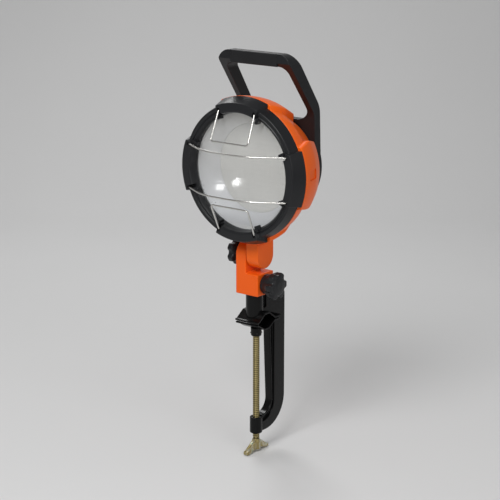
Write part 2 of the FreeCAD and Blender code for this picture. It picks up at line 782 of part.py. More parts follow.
wingTop = bossBottom - size("screwBelowBoss")
wingBottom = wingTop - size("wingHubHeight")
wingPinZ = (wingTop + wingBottom) * HALF


def clamp_screw():
    """Threaded rod; the thread is a plain cylinder at crest diameter."""
    crest = size("screwDiameter") * HALF
    neck = size("collarGroove") * HALF
    halfGroove = size("collarGrooveWidth") * HALF
    top = collarBottom + size("collarEngagement")
    chamfer = size("castRound")
    tail = size("wingHub") * HALF - size("castRound") * 2.5
    body = turned("clamp_screw", [
        (0, wingBottom + chamfer), (tail, wingBottom + chamfer), (tail, wingTop), (crest, wingTop),
        (crest, grooveMiddle - halfGroove), (neck, grooveMiddle - halfGroove),
        (neck, grooveMiddle + halfGroove), (crest, grooveMiddle + halfGroove),
        (crest, top - chamfer), (crest - chamfer, top), (0, top)])
    hole = new_sketch(body, "YZ_Plane")
    circle(hole, 0, wingPinZ, size("wingPin") * HALF)
    pocket(body, hole, size("wingHub") * 2, middle=True)
    return keep(body, "clamp_screw")


def wing_handle():
    """Wing at the foot of the screw, its arms drooping to both sides."""
    hub = size("wingHub") * HALF
    bore = hub - size("castRound") * 2.5 + size("screwSlip") * HALF
    tip = size("wingSpan") * HALF
    height = size("wingHubHeight")
    arms = plate("wing_arms", "YZ_Plane", [
        (0, wingTop - height * 0.12), (hub * 0.9, wingTop - height * 0.12, height * 0.3),
        (tip - height * 0.24, wingBottom + height * 0.22, height * 0.5),
        (tip, wingBottom + height * 0.16, height * 0.08), (tip, wingBottom - height * 0.16, height * 0.08),
        (tip - height * 0.5, wingBottom - height * 0.16, height * 0.2),
        (hub * 1.1, wingTop - height * 0.8, height * 0.5),
        (-hub * 1.1, wingTop - height * 0.8, height * 0.5),
        (height * 0.5 - tip, wingBottom - height * 0.16, height * 0.2),
        (-tip, wingBottom - height * 0.16, height * 0.08), (-tip, wingBottom + height * 0.16, height * 0.08),
        (height * 0.24 - tip, wingBottom + height * 0.22, height * 0.5),
        (-hub * 0.9, wingTop - height * 0.12, height * 0.3)], size("wingGauge"))
    core = rod("wing_core", hub, wingBottom, wingTop)
    solid = join("wing_solid", "Part::MultiFuse", [arms, core])
    boreTool = rod("wing_bore", bore, wingBottom - height, wingTop + height)
    pinTool = new_body("wing_pin_tool")
    sketch = new_sketch(pinTool, "YZ_Plane")
    circle(sketch, 0, wingPinZ, size("wingPin") * HALF)
    pad(pinTool, sketch, size("wingHub") * 2, middle=True)
    tools = join("wing_tools", "Part::MultiFuse", [boreTool, pinTool])
    return keep(join("wing_handle", "Part::Cut", (solid, tools)), "wing_handle")


def wing_pin():
    """Pin across the hub that fixes the wing to the screw."""
    body = new_body("wing_pin")
    sketch = new_sketch(body, "YZ_Plane")
    circle(sketch, 0, wingPinZ, size("wingPin") * HALF - size("screwSlip") * HALF)
    pad(body, sketch, size("wingHub"), middle=True)
    return keep(body, "wing_pin")


# ---------------------------------------------------------------- bracket

def bracket():
    """Block on the post with one ear for the tilt pivot."""
    block = plate("bracket_block", "XY_Plane", [
        (-halfWidth, -halfDepth), (halfWidth, -halfDepth), (halfWidth, halfDepth),
        (-halfWidth, halfDepth)], size("blockHeight"), lift=blockBottom, middle=False)
    ear = new_sketch(block, "YZ_Plane", lift=-halfWidth)
    outline(ear, [(-halfDepth, blockBottom), (halfDepth, blockBottom),
                  (halfDepth, pivotZ), (-halfDepth, pivotZ)])
    pad(block, ear, size("earGauge"))
    crown = new_sketch(block, "YZ_Plane", lift=-halfWidth)
    circle(crown, 0, pivotZ, halfDepth)
    pad(block, crown, size("earGauge"))
    round_edges(block, size("bracketRound"), bracket_edge)
    tools = []
    bore = rod("bracket_bore", size("spigotDiameter") * HALF + pivotSlip, blockBottom - size("runGap"),
               size("postTop") + size("spigotHeight") + size("runGap") * 2)
    tools.append(bore)
    pivot = rod("bracket_pivot_hole", studRadius + pivotSlip, -halfWidth * 2, 0)
    place(pivot, 0, 0, pivotZ, ACROSS_X)
    tools.append(pivot)
    insert = rod("bracket_insert_hole", size("insertDiameter") * HALF, insertInner, halfWidth * 2)
    place(insert, 0, 0, swivelZ, ACROSS_X)
    tools.append(insert)
    through = rod("bracket_stud_hole", studRadius + pivotSlip * 4, 0, halfWidth)
    place(through, 0, 0, swivelZ, ACROSS_X)
    tools.append(through)
    cutter = join("bracket_cutter", "Part::MultiFuse", tools)
    item = join("bracket", "Part::Cut", (block, cutter))
    place(item, 0, postY, 0)
    return keep(item, "bracket")


def bracket_edge(edge):
    """Outside edges of the block and ear, away from the seat of the stem."""
    here = middle_of(edge)
    if edge.Length < size("bracketRound").value * 3:
        return False
    low = abs(here.z - blockBottom.value) < 0.01
    outside = abs(abs(here.x) - halfWidth.value) < 0.01 and abs(here.x) > 0.1
    corner = runs_along(edge, 2) and abs(abs(here.y) - halfDepth.value) < 0.01
    ear_rim = abs(here.x - earInner.value) < 0.01 and here.z > blockTop.value + 0.1
    return low or (outside and not runs_along(edge, 2)) or (corner and outside) or ear_rim


insertOuter = halfWidth - size("runGap")
insertInner = insertOuter - size("insertLength")


def bracket_insert():
    """Threaded insert in the block for the swivel knob's stud."""
    body = tube("bracket_insert", size("insertDiameter") * HALF - size("screwSlip") * HALF,
                studRadius + size("threadClearance"), insertInner, insertOuter)
    place(body, 0, postY, swivelZ, ACROSS_X)
    return keep(body, "bracket_insert")


padInner = size("spigotGroove") * HALF + size("runGap")
padOuter = padInner + size("padGauge")


def pressure_pad():
    """Pad on the stud's tip that grips the groove of the post."""
    body = rod("pressure_pad", size("padDiameter") * HALF, padInner, padOuter)
    place(body, 0, postY, swivelZ, ACROSS_X)
    return keep(body, "pressure_pad")


LOBES = 6


def star_knob(name, start, hubRadius, hubLength, boreFrom, boreTo, boreRadius):
    """Star knob along local Z: hub, seven lobes and a low domed face."""
    radius = size("knobDiameter") * HALF
    lobe = size("lobeDiameter") * HALF
    core = radius - lobe * 0.72
    face = start + hubLength + size("lobeDepth")
    crown = size("knobDome")
    body = turned(name, [
        (0, start), (hubRadius, start), (hubRadius, start + hubLength), (core, start + hubLength),
        (core, face), (core * 0.86, face + crown * HALF), (core * HALF, face + crown), (0, face + crown)])
    sketch = new_sketch(body, "XY_Plane", lift=start + hubLength)
    circle(sketch, radius - lobe, 0, lobe)
    lobePad = pad(body, sketch, size("lobeDepth"))
    repeat_round(body, [lobePad], LOBES)
    reach = core.value + 0.2
    for level, softness in ((face.value, 0.2), ((sized(start) + hubLength).value, 0.08)):
        round_edges(body, lobe * softness, lambda edge: lobe_rim(edge, level, reach))
    sketch = new_sketch(body, "XY_Plane", lift=boreTo)
    circle(sketch, 0, 0, boreRadius)
    pocket(body, sketch, boreTo - boreFrom)
    return body



def lobe_rim(edge, height, reach):
    """Arcs round the outside of the lobes, on one flat face."""
    box = edge.BoundBox
    if box.ZLength > 0.01:
        return False
    level = abs(box.ZMin - height) < 0.01
    far = max(Vector(v.X, v.Y, 0).Length for v in edge.Vertexes)
    here = middle_of(edge)
    return level and Vector(here.x, here.y, 0).Length > reach * 0.75 and far < reach * 1.6 and far > reach * 0.98


tiltStart = halfWidth + size("runGap") + size("washerGauge") + size("runGap")
tiltInsertEnd = tiltStart + size("insertLength")
swivelStart = halfWidth + size("runGap")


def tilt_knob():
    body = star_knob("tilt_knob", tiltStart, size("tiltHubDiameter") * HALF, size("tiltHubLength"),
                     tiltStart - size("runGap"), tiltInsertEnd + size("runGap"),
                     size("insertDiameter") * HALF)
    place(body, 0, postY, pivotZ, Rotation(Vector(0, 1, 0), -90))
    return keep(body, "tilt_knob")


def tilt_knob_insert():
    """Threaded insert moulded into the tilt knob."""
    body = tube("tilt_knob_insert", size("insertDiameter") * HALF - size("screwSlip") * HALF,
                studRadius + size("threadClearance"), tiltStart, tiltInsertEnd)
    place(body, 0, postY, pivotZ, Rotation(Vector(0, 1, 0), -90))
    return keep(body, "tilt_knob_insert")


def tilt_washer():
    start = halfWidth + size("runGap")
    body = tube("tilt_washer", size("washerDiameter") * HALF, studRadius + pivotSlip,
                start, start + size("washerGauge"))
    place(body, 0, postY, pivotZ, Rotation(Vector(0, 1, 0), -90))
    return keep(body, "tilt_washer")


def pivot_stud():
    """Stud moulded into the stem; the head tilts on it."""
    flangeRadius = size("insertDiameter") * HALF
    stop = halfWidth - size("bracketRound") * 2.5
    body = turned("pivot_stud", [
        (0, -stop), (flangeRadius, -stop), (flangeRadius, size("insertLength") * HALF - stop),
        (studRadius, size("insertLength") * HALF - stop),
        (studRadius, tiltInsertEnd - size("castRound")),
        (studRadius - size("castRound"), tiltInsertEnd), (0, tiltInsertEnd)])
    place(body, 0, postY, pivotZ, Rotation(Vector(0, 1, 0), -90))
    return keep(body, "pivot_stud")


def friction_disc():
    body = tube("friction_disc", size("discDiameter") * HALF, studRadius + pivotSlip,
                earInner + size("runGap"), stemInner)
    place(body, 0, postY, pivotZ, ACROSS_X)
    return keep(body, "friction_disc")


def swivel_knob():
    end = swivelStart + size("swivelHubLength") + size("lobeDepth") * HALF
    body = star_knob("swivel_knob", swivelStart, size("swivelHubDiameter") * HALF,
                     size("swivelHubLength"), swivelStart - size("runGap"), end, studRadius)
    place(body, 0, postY, swivelZ, ACROSS_X)
    return keep(body, "swivel_knob")


def swivel_knob_stud():
    """Stud moulded into the swivel knob; its tip carries the pressure pad."""
    end = swivelStart + size("swivelHubLength") + size("lobeDepth") * HALF
    start = padOuter + size("runGap")
    body = turned("swivel_knob_stud", [
        (0, start), (studRadius - size("castRound"), start), (studRadius, start + size("castRound")),
        (studRadius, end), (0, end)])
    place(body, 0, postY, swivelZ, ACROSS_X)
    return keep(body, "swivel_knob_stud")


# ---------------------------------------------------------------- lamp head: shell and stem

padRadius = size("housingRadius") + size("padProud")
stemTop = -padRadius - size("runGap")
stemLeft = stemInner


def head_stem():
    """Orange stem under the housing, rounded about the tilt pivot."""
    fromPivot = -size("lampRise")
    front = size("seamAhead") - halfDepth
    back = size("seamAhead") + halfDepth
    body = new_body("head_stem")
    sketch = new_sketch(body, "YZ_Plane", lift=stemLeft)
    outline(sketch, [(front, fromPivot), (back, fromPivot), (back, stemTop), (front, stemTop)])
    pad(body, sketch, halfWidth - stemLeft)
    foot = new_sketch(body, "YZ_Plane", lift=stemLeft)
    circle(foot, size("seamAhead"), fromPivot, halfDepth)
    pad(body, foot, halfWidth - stemLeft)
    above = new_sketch(body, "YZ_Plane", lift=stemLeft)
    outline(above, [(front, stemTop), (back, stemTop), (back, stemTop + halfDepth), (front, stemTop + halfDepth)])
    pocket(body, above, halfWidth - stemLeft, forward=True)
    round_edges(body, size("bracketRound") * HALF, stem_edge)
    bore = new_sketch(body, "YZ_Plane", lift=stemLeft)
    circle(bore, size("seamAhead"), fromPivot, studRadius)
    pocket(body, bore, halfWidth * 2 - size("bracketRound") * 2.5 - earInner - halfWidth, forward=True)
    pot = new_sketch(body, "YZ_Plane", lift=halfWidth - size("bracketRound") * 2.5)
    circle(pot, size("seamAhead"), fromPivot, size("insertDiameter") * HALF)
    pocket(body, pot, size("insertLength") * HALF)
    holes = new_sketch(body, "XY_Plane", lift=stemTop)
    for y in stem_screw_places():
        circle(holes, stemScrewX, y, screwRadius)
    pocket(body, holes, size("stemScrewGrip") + size("runGap"))
    place_behind(body)
    return keep(body, "head_stem")


stemScrewX = (stemLeft + halfWidth) * HALF


stemSeatInner = size("housingRadius") - size("shellGauge") * 2
stemScrewTail = stemTop - size("stemScrewGrip")


def stem_screw_places():
    """Distances behind the seam, to both sides of the pivot."""
    half = size("stemScrewPitch") * HALF
    return [size("seamAhead") - half, size("seamAhead") + half]


def stem_screws():
    """Two screws from inside the housing down into the stem."""
    body = new_body("stem_screws")
    for low, high, half in ((stemScrewTail, -stemSeatInner, screwRadius),
                            (-stemSeatInner, size("screwHeadHeight") - stemSeatInner,
                             size("screwHead") * HALF)):
        sketch = new_sketch(body, "XY_Plane", lift=low)
        for y in stem_screw_places():
            circle(sketch, stemScrewX, y, half)
        pad(body, sketch, high - low)
    place_behind(body)
    return keep(body, "stem_screws")


def stem_edge(edge):
    """Edges along the stem's two side faces."""
    here = middle_of(edge)
    side = abs(here.x - halfWidth.value) < 0.01 or abs(here.x - stemLeft.value) < 0.01
    return side and here.z < stemTop.value - 0.1


def housing_profile():
    """Half section (radius, z) of the housing shell."""
    wall = size("shellGauge")
    outer = size("housingRadius")
    drum = size("drumRadius")
    rear = size("housingLength")
    slope = (drum - size("rearRadius")) / (rear - size("drumLength"))
    spigot = size("spigotRadius")
    front = -size("ringDepth") + size("lipDepth") + size("gasketDepth")

    def inner(z):
        return drum - wall * 1.1 - slope * (z - size("drumLength"))

    ribBack = sinkRib + size("sinkRibGauge")
    ribInner = sinkScrewRadius - size("sinkRibLand")
    return [
        (spigot - size("spigotGauge"), front), (spigot, front), (spigot, 0), (outer, 0),
        (drum, size("drumLength"), size("drumLength")), (size("rearRadius"), rear),
        (size("rearOpening"), rear), (size("rearOpening"), rear - wall),
        (inner(rear - wall), rear - wall), (inner(ribBack), ribBack),
        (ribInner, ribBack), (ribInner, sinkRib), (inner(sinkRib), sinkRib),
        (drum - wall, size("drumLength") - wall), (outer - wall, wall),
        (spigot - size("spigotGauge"), wall)]


spigotFront = -size("ringDepth") + size("lipDepth") + size("gasketDepth")
discFront = spigotFront + size("discSetback")
boardFront = discFront + size("boardSetback")
sinkFront = boardFront + size("boardGauge")
sinkRib = sinkFront + size("sinkGauge")
ringScrewRadius = (size("spigotRadius") + (size("lugRadius") + padRadius) * HALF) * HALF
ringScrewTail = size("ringDepth") * HALF
ringScrewHead = size("padLength") * HALF
plateScrewRadius = size("plateRadius") - size("plateRim") * HALF
SCREW_COUNT = 4


def round_holes(body, radius, hole, depth, lift, forward=False, spin=0.0):
    """Four round pockets on a circle about local Z."""
    sketch = new_sketch(body, "XY_Plane", lift=lift)
    for turn in range(SCREW_COUNT):
        angle = math.radians(90 * turn + spin)
        circle(sketch, radius * round(math.cos(angle), 9), radius * round(math.sin(angle), 9), hole)
    return pocket(body, sketch, depth, forward=forward)


def housing():
    """Orange shell: drum, cone, four raised pads and a seat for the stem."""
    body = turned("housing", housing_profile())
    wall = size("shellGauge")
    padBack = size("padLength") + size("padSlope")
    low = size("drumRadius") - wall * HALF
    sketch = new_sketch(body, "XZ_Plane")
    outline(sketch, [
        (low, 0), (padRadius, 0), (padRadius - size("padTaper"), size("padLength"), size("padLength")),
        (size("padEnd"), padBack, wall), (size("rearRadius") + wall, padBack + wall * 2),
        (low, size("drumLength"))])
    raised = revolve(body, sketch, size("padAngle"))
    repeat_round(body, [raised], SCREW_COUNT)
    seat = new_sketch(body, "XZ_Plane", lift=-stemSeatInner)
    back = size("seamAhead") + halfDepth
    outline(seat, [(stemLeft, 0), (halfWidth, 0), (halfWidth, back), (stemLeft, back)])
    pad(body, seat, -stemTop - stemSeatInner).Reversed = True
    shank = screwRadius + size("screwSlip")
    round_holes(body, ringScrewRadius, shank, ringScrewHead * 3, ringScrewHead * 3)
    round_holes(body, ringScrewRadius, size("screwHead") * HALF + size("screwSlip"), padBack, ringScrewHead,
                forward=True)
    round_holes(body, plateScrewRadius, screwRadius, wall * 3, size("housingLength"), spin=45)
    round_holes(body, sinkScrewRadius, screwRadius, size("sinkRibGauge"), sinkRib, forward=True, spin=45)
    for half, depth in ((size("screwHead") * HALF + size("screwSlip"), stemSeatInner), (shank, -stemTop * 2)):
        hole = new_sketch(body, "XZ_Plane")
        for y in stem_screw_places():
            circle(hole, stemScrewX, y, half)
        pocket(body, hole, depth)
    place_head(body)
    return keep(body, "housing")


sinkScrewRadius = size("sinkRadius") - screwRadius * 1.7


def ring_profile():
    """Half section (radius, z) of the front ring between its lugs."""
    front = -size("ringDepth")
    lip = front + size("lipDepth")
    socket = size("spigotRadius") + size("spigotSlip")
    chamfer = size("windowChamfer")
    return [
        (size("windowRadius"), front + chamfer), (size("windowRadius") + chamfer, front),
        (size("ringRadius"), front, size("ringRound")), (size("housingRadius"), 0),
        (socket, 0),
        (socket, lip), (size("windowRadius"), lip)]


def bezel_ring():
    """Front ring with four lugs, wire clips and blind holes for the guard."""
    body = turned("bezel_ring", ring_profile())
    socket = size("spigotRadius") + size("spigotSlip")
    lip = -size("ringDepth") + size("lipDepth")
    sketch = new_sketch(body, "XZ_Plane")
    outline(sketch, [
        (size("windowRadius") + size("lugSlope"), lugFront), (size("lugRadius"), lugFront, size("lugRound")),
        (padRadius, 0), (socket, 0), (socket, lip),
        (size("windowRadius") + 1, lip)])
    lug = revolve(body, sketch, size("lugAngle"))
    features = [lug]
    clipOuter = size("windowRadius") + size("clipReach") * HALF
    clipInner = size("windowRadius") - size("clipReach")
    clipFront = -size("ringDepth") + size("windowChamfer") * HALF
    for side in (1, -1):
        spin = (size("lugAngle") + size("clipWidth")) * HALF * side
        sketch = new_sketch(body, "XZ_Plane", spin=spin)
        outline(sketch, [
            (clipInner, clipFront), (clipOuter, clipFront), (clipOuter, clipFront + size("clipDepth")),
            (clipInner, clipFront + size("clipDepth"))])
        features.append(revolve(body, sketch, size("clipWidth")))
    repeat_round(body, features, SCREW_COUNT)
    radius = size("wireDiameter") * HALF + size("wireSlip")
    holes = new_sketch(body, "XY_Plane", lift=lugFront)
    for x, y in wire_places():
        circle(holes, x, y, radius)
    pocket(body, holes, wireEnd - lugFront + size("wireSlip") * 2, forward=True)
    half = size("notchWidth") * HALF
    near = size("windowRadius") - size("lugSlope")
    corners = ((near, -half), (wireRadius + half, -half), (wireRadius + half, half), (near, half))
    slots = new_sketch(body, "XY_Plane", lift=lugFront)
    for x, y in wire_places():
        alongX, alongY = x / wireRadius, y / wireRadius
        outline(slots, [(alongX * r - alongY * w, alongY * r + alongX * w) for r, w in corners])
    pocket(body, slots, size("notchDepth"), forward=True)
    round_holes(body, ringScrewRadius, screwRadius, ringScrewTail + size("runGap"), 0)
    place_head(body)
    return keep(body, "bezel_ring")


wireRadius = size("wireCircle")
wireNear = wireRadius * sine(size("wireAngle"))
wireFar = wireRadius * cosine(size("wireAngle"))


def wire_places():
    """Centres of the eight wire holes."""
    places = []
    for side in (1, -1):
        for other in (1, -1):
            places.append((wireFar * side, wireNear * other))
            places.append((wireNear * side, wireFar * other))
    return places


def screw_group(name, radius, tail, head, spin=0.0):
    """Four cap screws on a circle: the shank runs forward from the head."""
    body = new_body(name)
    pieces = []
    for low, high, half in ((tail, head, screwRadius),
                            (head, head + size("screwHeadHeight"), size("screwHead") * HALF)):
        sketch = new_sketch(body, "XY_Plane", lift=low)
        angle = math.radians(spin)
        circle(sketch, radius * round(math.cos(angle), 9), radius * round(math.sin(angle), 9), half)
        pieces.append(pad(body, sketch, high - low))
    repeat_round(body, pieces, SCREW_COUNT)
    place_head(body)
    return keep(body, name)


# ---------------------------------------------------------------- guard wires

def bent_wire(name, points):
    """A round wire through points (x, y, z, bend radius), all Size values."""
    spots = [Vector(*[part.value for part in point[:3]]) for point in points]
    edges = []
    last = spots[0]
    for i in range(1, len(spots) - 1):
        back = (spots[i - 1] - spots[i]).normalize()
        ahead = (spots[i + 1] - spots[i]).normalize()
        half = back.getAngle(ahead) / 2
        bend = points[i][3].value
        reach = bend / math.tan(half)
        middle = spots[i] + (back + ahead).normalize() * (bend / math.sin(half) - bend)
        edges.append(Part.LineSegment(last, spots[i] + back * reach).toShape())
        edges.append(Part.Arc(spots[i] + back * reach, middle, spots[i] + ahead * reach).toShape())
        last = spots[i] + ahead * reach
    edges.append(Part.LineSegment(last, spots[-1]).toShape())
    path = Part.Wire(edges)
    along = (spots[1] - spots[0]).normalize()
    section = Part.Wire(Part.Circle(spots[0], along, size("wireDiameter").value / 2).toShape())
    item = doc.addObject("Part::Feature", name)
    item.Shape = path.makePipeShell([section], True, False)
    place_behind(item)
    return keep(item, name)


ringFront = -size("ringDepth")
wireEnd = wireFront + size("wireInsert")
smallBend = size("wireBend")


def bowed_wire(name, side):
    z = wireNear * side
    exitY = wireFront - smallBend * 1.5
    bowY = ringFront - size("bowStandoff")
    return bent_wire(name, [
        (-wireFar, wireEnd, z), (-wireFar, exitY, z, smallBend),
        (-size("bowHalf"), bowY, z, size("bowRadius")), (size("bowHalf"), bowY, z, size("bowRadius")),
        (wireFar, exitY, z, smallBend), (wireFar, wireEnd, z)])


def loop_wire(name, side):
    top = wireFar * side
    bar = size("loopReach") * side
    exitY = wireFront - smallBend
    barY = ringFront - size("loopStandoff")
    return bent_wire(name, [
        (-wireNear, wireEnd, top), (-wireNear, exitY, top, smallBend),
        (-size("loopHalf"), barY, bar, smallBend), (size("loopHalf"), barY, bar, smallBend),
        (wireNear, exitY, top, smallBend), (wireNear, wireEnd, top)])


# ---------------------------------------------------------------- lamp head: optics and electronics

lipBack = -size("ringDepth") + size("lipDepth")
lensMiddle = lipBack + size("gasketDepth") * HALF
lensHalf = size("lensGauge") * HALF


def window_gasket():
    """Rubber channel round the rim of the front window."""
    inner = size("gasketInner")
    outer = size("spigotRadius") - size("spigotSlip")
    rim = size("lensRim")
    body = turned("window_gasket", [
        (inner, lipBack), (outer, lipBack), (outer, spigotFront), (inner, spigotFront),
        (inner, lensMiddle + lensHalf), (rim, lensMiddle + lensHalf), (rim, lensMiddle - lensHalf),
        (inner, lensMiddle - lensHalf)])
    place_head(body)
    return keep(body, "window_gasket")


def front_window():
    body = rod("front_window", size("lensRim"), lensMiddle - lensHalf, lensMiddle + lensHalf)
    place_head(body)
    return keep(body, "front_window")


def reflector():
    """Pale conical reflector that carries the diffuser and stands on the LED board."""
    wall = size("reflectorGauge")
    mouth = size("spigotRadius") - size("spigotGauge") - size("mouthSlip")
    seat = size("discRadius") + size("screwSlip")
    ledge = discFront + size("discDepth")
    body = turned("reflector", [
        (mouth - wall, spigotFront), (mouth, spigotFront), (mouth, spigotFront + wall),
        (seat + wall, discFront), (seat + wall, boardFront), (seat, boardFront),
        (seat, ledge + wall), (seat - size("ledgeWidth"), ledge + wall), (seat - size("ledgeWidth"), ledge),
        (seat, ledge), (seat, discFront), (mouth - wall, spigotFront + wall)])
    place_head(body)
    return keep(body, "reflector")


def diffuser_disc():
    body = rod("diffuser_disc", size("discRadius"), discFront, discFront + size("discDepth"))
    place_head(body)
    return keep(body, "diffuser_disc")


def led_board():
    body = rod("led_board", size("boardRadius"), boardFront, sinkFront)
    place_head(body)
    return keep(body, "led_board")


def led_packages():
    """Grid of LED packages on the front of the board."""
    body = new_body("led_packages")
    rows = size("ledRows")
    corner = -(size("ledPitch") * (rows - 1) + size("ledSize")) * HALF
    sketch = new_sketch(body, "XY_Plane", lift=boardFront - size("ledHeight"))
    far = corner + size("ledSize")
    outline(sketch, [(corner, corner), (far, corner), (far, far), (corner, far)])
    first = pad(body, sketch, size("ledHeight"))
    grid = body.newObject("PartDesign::MultiTransform", "led_grid")
    grid.Originals = [first]
    steps = []
    for role in ("X_Axis", "Y_Axis"):
        step = body.newObject("PartDesign::LinearPattern", "led_step_" + role[0].lower())
        step.Direction = (origin_axis(body, role), [""])
        step.Length = (size("ledPitch") * (rows - 1)).value
        bind(step, "Length", size("ledPitch") * (rows - 1))
        step.Occurrences = int(rows.value)
        steps.append(step)
    grid.Transformations = steps
    body.Tip = grid
    place_head(body)
    return keep(body, "led_packages")


def heat_sink():
    """Base disc on the housing's rib, with straight fins behind it."""
    body = rod("heat_sink", size("sinkRadius"), sinkFront, sinkRib)
    half = size("finLength") * HALF
    start = -size("finPitch") * (size("finCount") - 1) * HALF
    edge = size("finGauge") * HALF
    sketch = new_sketch(body, "XY_Plane", lift=sinkRib)
    outline(sketch, [(start - edge, -half), (start + edge, -half), (start + edge, half), (start - edge, half)])
    fin = pad(body, sketch, size("finHeight"))
    repeat_line(body, [fin], "X_Axis", size("finPitch"), size("finCount"))
    round_holes(body, sinkScrewRadius, screwRadius + size("screwSlip"), size("sinkGauge"), sinkRib, spin=45)
    place_head(body)
    return keep(body, "heat_sink")


def sink_screws():
    """Four screws that hold the heat sink to the housing's rib, heads in front."""
    body = new_body("sink_screws")
    angle = math.radians(45)
    x = sinkScrewRadius * round(math.cos(angle), 9)
    pieces = []
    for low, high, half in ((sinkFront, sinkRib + size("sinkRibGauge"), screwRadius),
                            (sinkFront - size("screwHeadHeight"), sinkFront, size("screwHead") * HALF)):
        sketch = new_sketch(body, "XY_Plane", lift=low)
        circle(sketch, x, x, half)
        pieces.append(pad(body, sketch, high - low))
    repeat_round(body, pieces, SCREW_COUNT)
    place_head(body)
    return keep(body, "sink_screws")


plateFront = size("housingLength") + size("rearGasketGauge")
plateBack = plateFront + size("plateDepth")
plateInner = plateBack - size("plateWall")


def driver_case():
    """LED driver on the inside of the rear plate."""
    halfX = size("driverWidth") * HALF
    low = -size("glandDrop") * 0.3
    body = plate("driver_case", "XZ_Plane", [
        (-halfX, low), (halfX, low), (halfX, low + size("driverHeight")),
        (-halfX, low + size("driverHeight"))], size("driverDepth"), lift=-plateInner, middle=False)
    round_edges(body, size("bracketRound"), lambda edge: runs_along(edge, 1))
    place_behind(body)
    return keep(body, "driver_case")


# ---------------------------------------------------------------- handle

def rear_gasket():
    body = tube("rear_gasket", size("rearRadius") - size("runGap"), size("plateRadius") - size("plateRim"),
                size("housingLength"), plateFront)
    round_holes(body, plateScrewRadius, screwRadius + size("screwSlip") * 2, size("rearGasketGauge") * 2,
                plateFront + size("rearGasketGauge"), spin=45)
    place_head(body)
    return keep(body, "rear_gasket")


handleTop = size("handleRise")
barUnder = handleTop - size("barHeight")
barFront = plateFront - size("handleLean")
barBack = barFront + size("barDepth")


def bar_core(name, inset, length):
    """A block round the bar's middle, smaller than the grip by an inset all round."""
    return plate(name, "YZ_Plane", [
        (barFront + inset, barUnder + inset), (barBack - inset, barUnder + inset),
        (barBack - inset, handleTop - inset), (barFront + inset, handleTop - inset)], length)


def carry_handle():
    """Round rear plate with two legs that lean forward to the bar."""
    outside = size("legOutside")
    inside = outside - size("legWidth")
    foot = outside + size("legFlare")
    webInside = foot - size("legWidth") - size("legFlare") * size("webRise") / handleTop
    nose = size("castRound") * 2
    side = plate("handle_side", "YZ_Plane", [
        (plateFront, 0), (plateFront, size("bendRise"), size("bendRound")),
        (barFront, handleTop - size("barNose"), nose), (barFront, handleTop, nose),
        (barBack, handleTop, nose), (plateBack, size("rearBendRise"), size("rearBendRound")),
        (plateBack, 0)], foot * 2)
    front = plate("handle_front", "XZ_Plane", [
        (-foot, 0), (foot, 0), (outside, handleTop, size("cornerOutside")),
        (-outside, handleTop, size("cornerOutside"))], plateBack * 4)
    opening = new_sketch(front, "XZ_Plane")
    outline(opening, [
        (-webInside, size("webRise"), size("webCorner")), (webInside, size("webRise"), size("webCorner")),
        (inside, barUnder, size("cornerInside")), (-inside, barUnder, size("cornerInside"))])
    pocket(front, opening, plateBack * 5, middle=True)
    legs = join("handle_legs", "Part::Common", (side, front))
    around = plate("handle_grip_space", "YZ_Plane", [
        (barFront - nose, barUnder - nose), (plateFront, barUnder - nose),
        (plateFront, handleTop + nose), (barFront - nose, handleTop + nose)], size("gripLength"))
    core = bar_core("handle_core", size("gripGauge"), size("gripLength") * 2)
    seat = join("handle_grip_seat", "Part::Cut", (around, core))
    disc = rod("handle_disc", size("plateRadius"), plateFront, plateBack)
    round_edges(disc, nose, lambda edge: abs(edge.BoundBox.ZMin - plateBack.value) < 0.01)
    disc.Placement = Placement(Vector(0, 0, 0), ACROSS_Y)
    cavity = rod("handle_cavity", size("plateRadius") - size("plateRim"), plateFront - nose, plateInner)
    cavity.Placement = Placement(Vector(0, 0, 0), ACROSS_Y)
    screws = new_body("handle_screw_holes")
    for hole, low, high in ((screwRadius + size("screwSlip"), plateFront - nose, plateBack),
                            (size("screwHead") * HALF + size("screwSlip"), plateHead, plateBack + nose)):
        sketch = new_sketch(screws, "XY_Plane", lift=low)
        for turn in range(SCREW_COUNT):
            angle = math.radians(90 * turn + 45)
            circle(sketch, plateScrewRadius * round(math.cos(angle), 9),
                   plateScrewRadius * round(math.sin(angle), 9), hole)
        pad(screws, sketch, high - low)
    screws.Placement = Placement(Vector(0, 0, 0), ACROSS_Y)
    gland = rod("handle_gland_hole", size("glandThread") * HALF, plateInner - nose, plateBack + nose)
    place(gland, 0, 0, -size("glandDrop"), ACROSS_Y)
    solid = join("handle_solid", "Part::MultiFuse", [legs, disc])
    tools = join("handle_tools", "Part::MultiFuse", [cavity, screws, gland, seat])
    item = join("carry_handle", "Part::Cut", (solid, tools))
    place_behind(item)
    return keep(item, "carry_handle")


plateHead = plateBack - size("screwHeadHeight") * 1.2


def grip_sleeve():
    """Grip round the bar, flush with the handle's corners."""
    sleeve = bar_core("grip_sleeve", 0, size("gripLength") - size("runGap"))
    round_edges(sleeve, size("castRound") * 2, lambda edge: runs_along(edge, 0))
    core = new_sketch(sleeve, "YZ_Plane")
    inset = size("gripGauge") - size("gripSlip")
    outline(core, [
        (barFront + inset, barUnder + inset), (barBack - inset, barUnder + inset),
        (barBack - inset, handleTop - inset), (barFront + inset, handleTop - inset)])
    pocket(sleeve, core, size("gripLength") * 2, middle=True)
    place_behind(sleeve)
    return keep(sleeve, "grip_sleeve")


# ---------------------------------------------------------------- cable gland

def place_gland(item):
    place(item, 0, seamY, lampZ - size("glandDrop"), ACROSS_Y)


glandThreadRadius = size("glandThread") * HALF
bushRadius = size("glandBushDiameter") * HALF
hexBack = plateBack + size("glandHex")
nutBack = hexBack + size("glandNut")
hexRadius = size("glandFlats") / (cosine(Size("30", 30)) * 2)


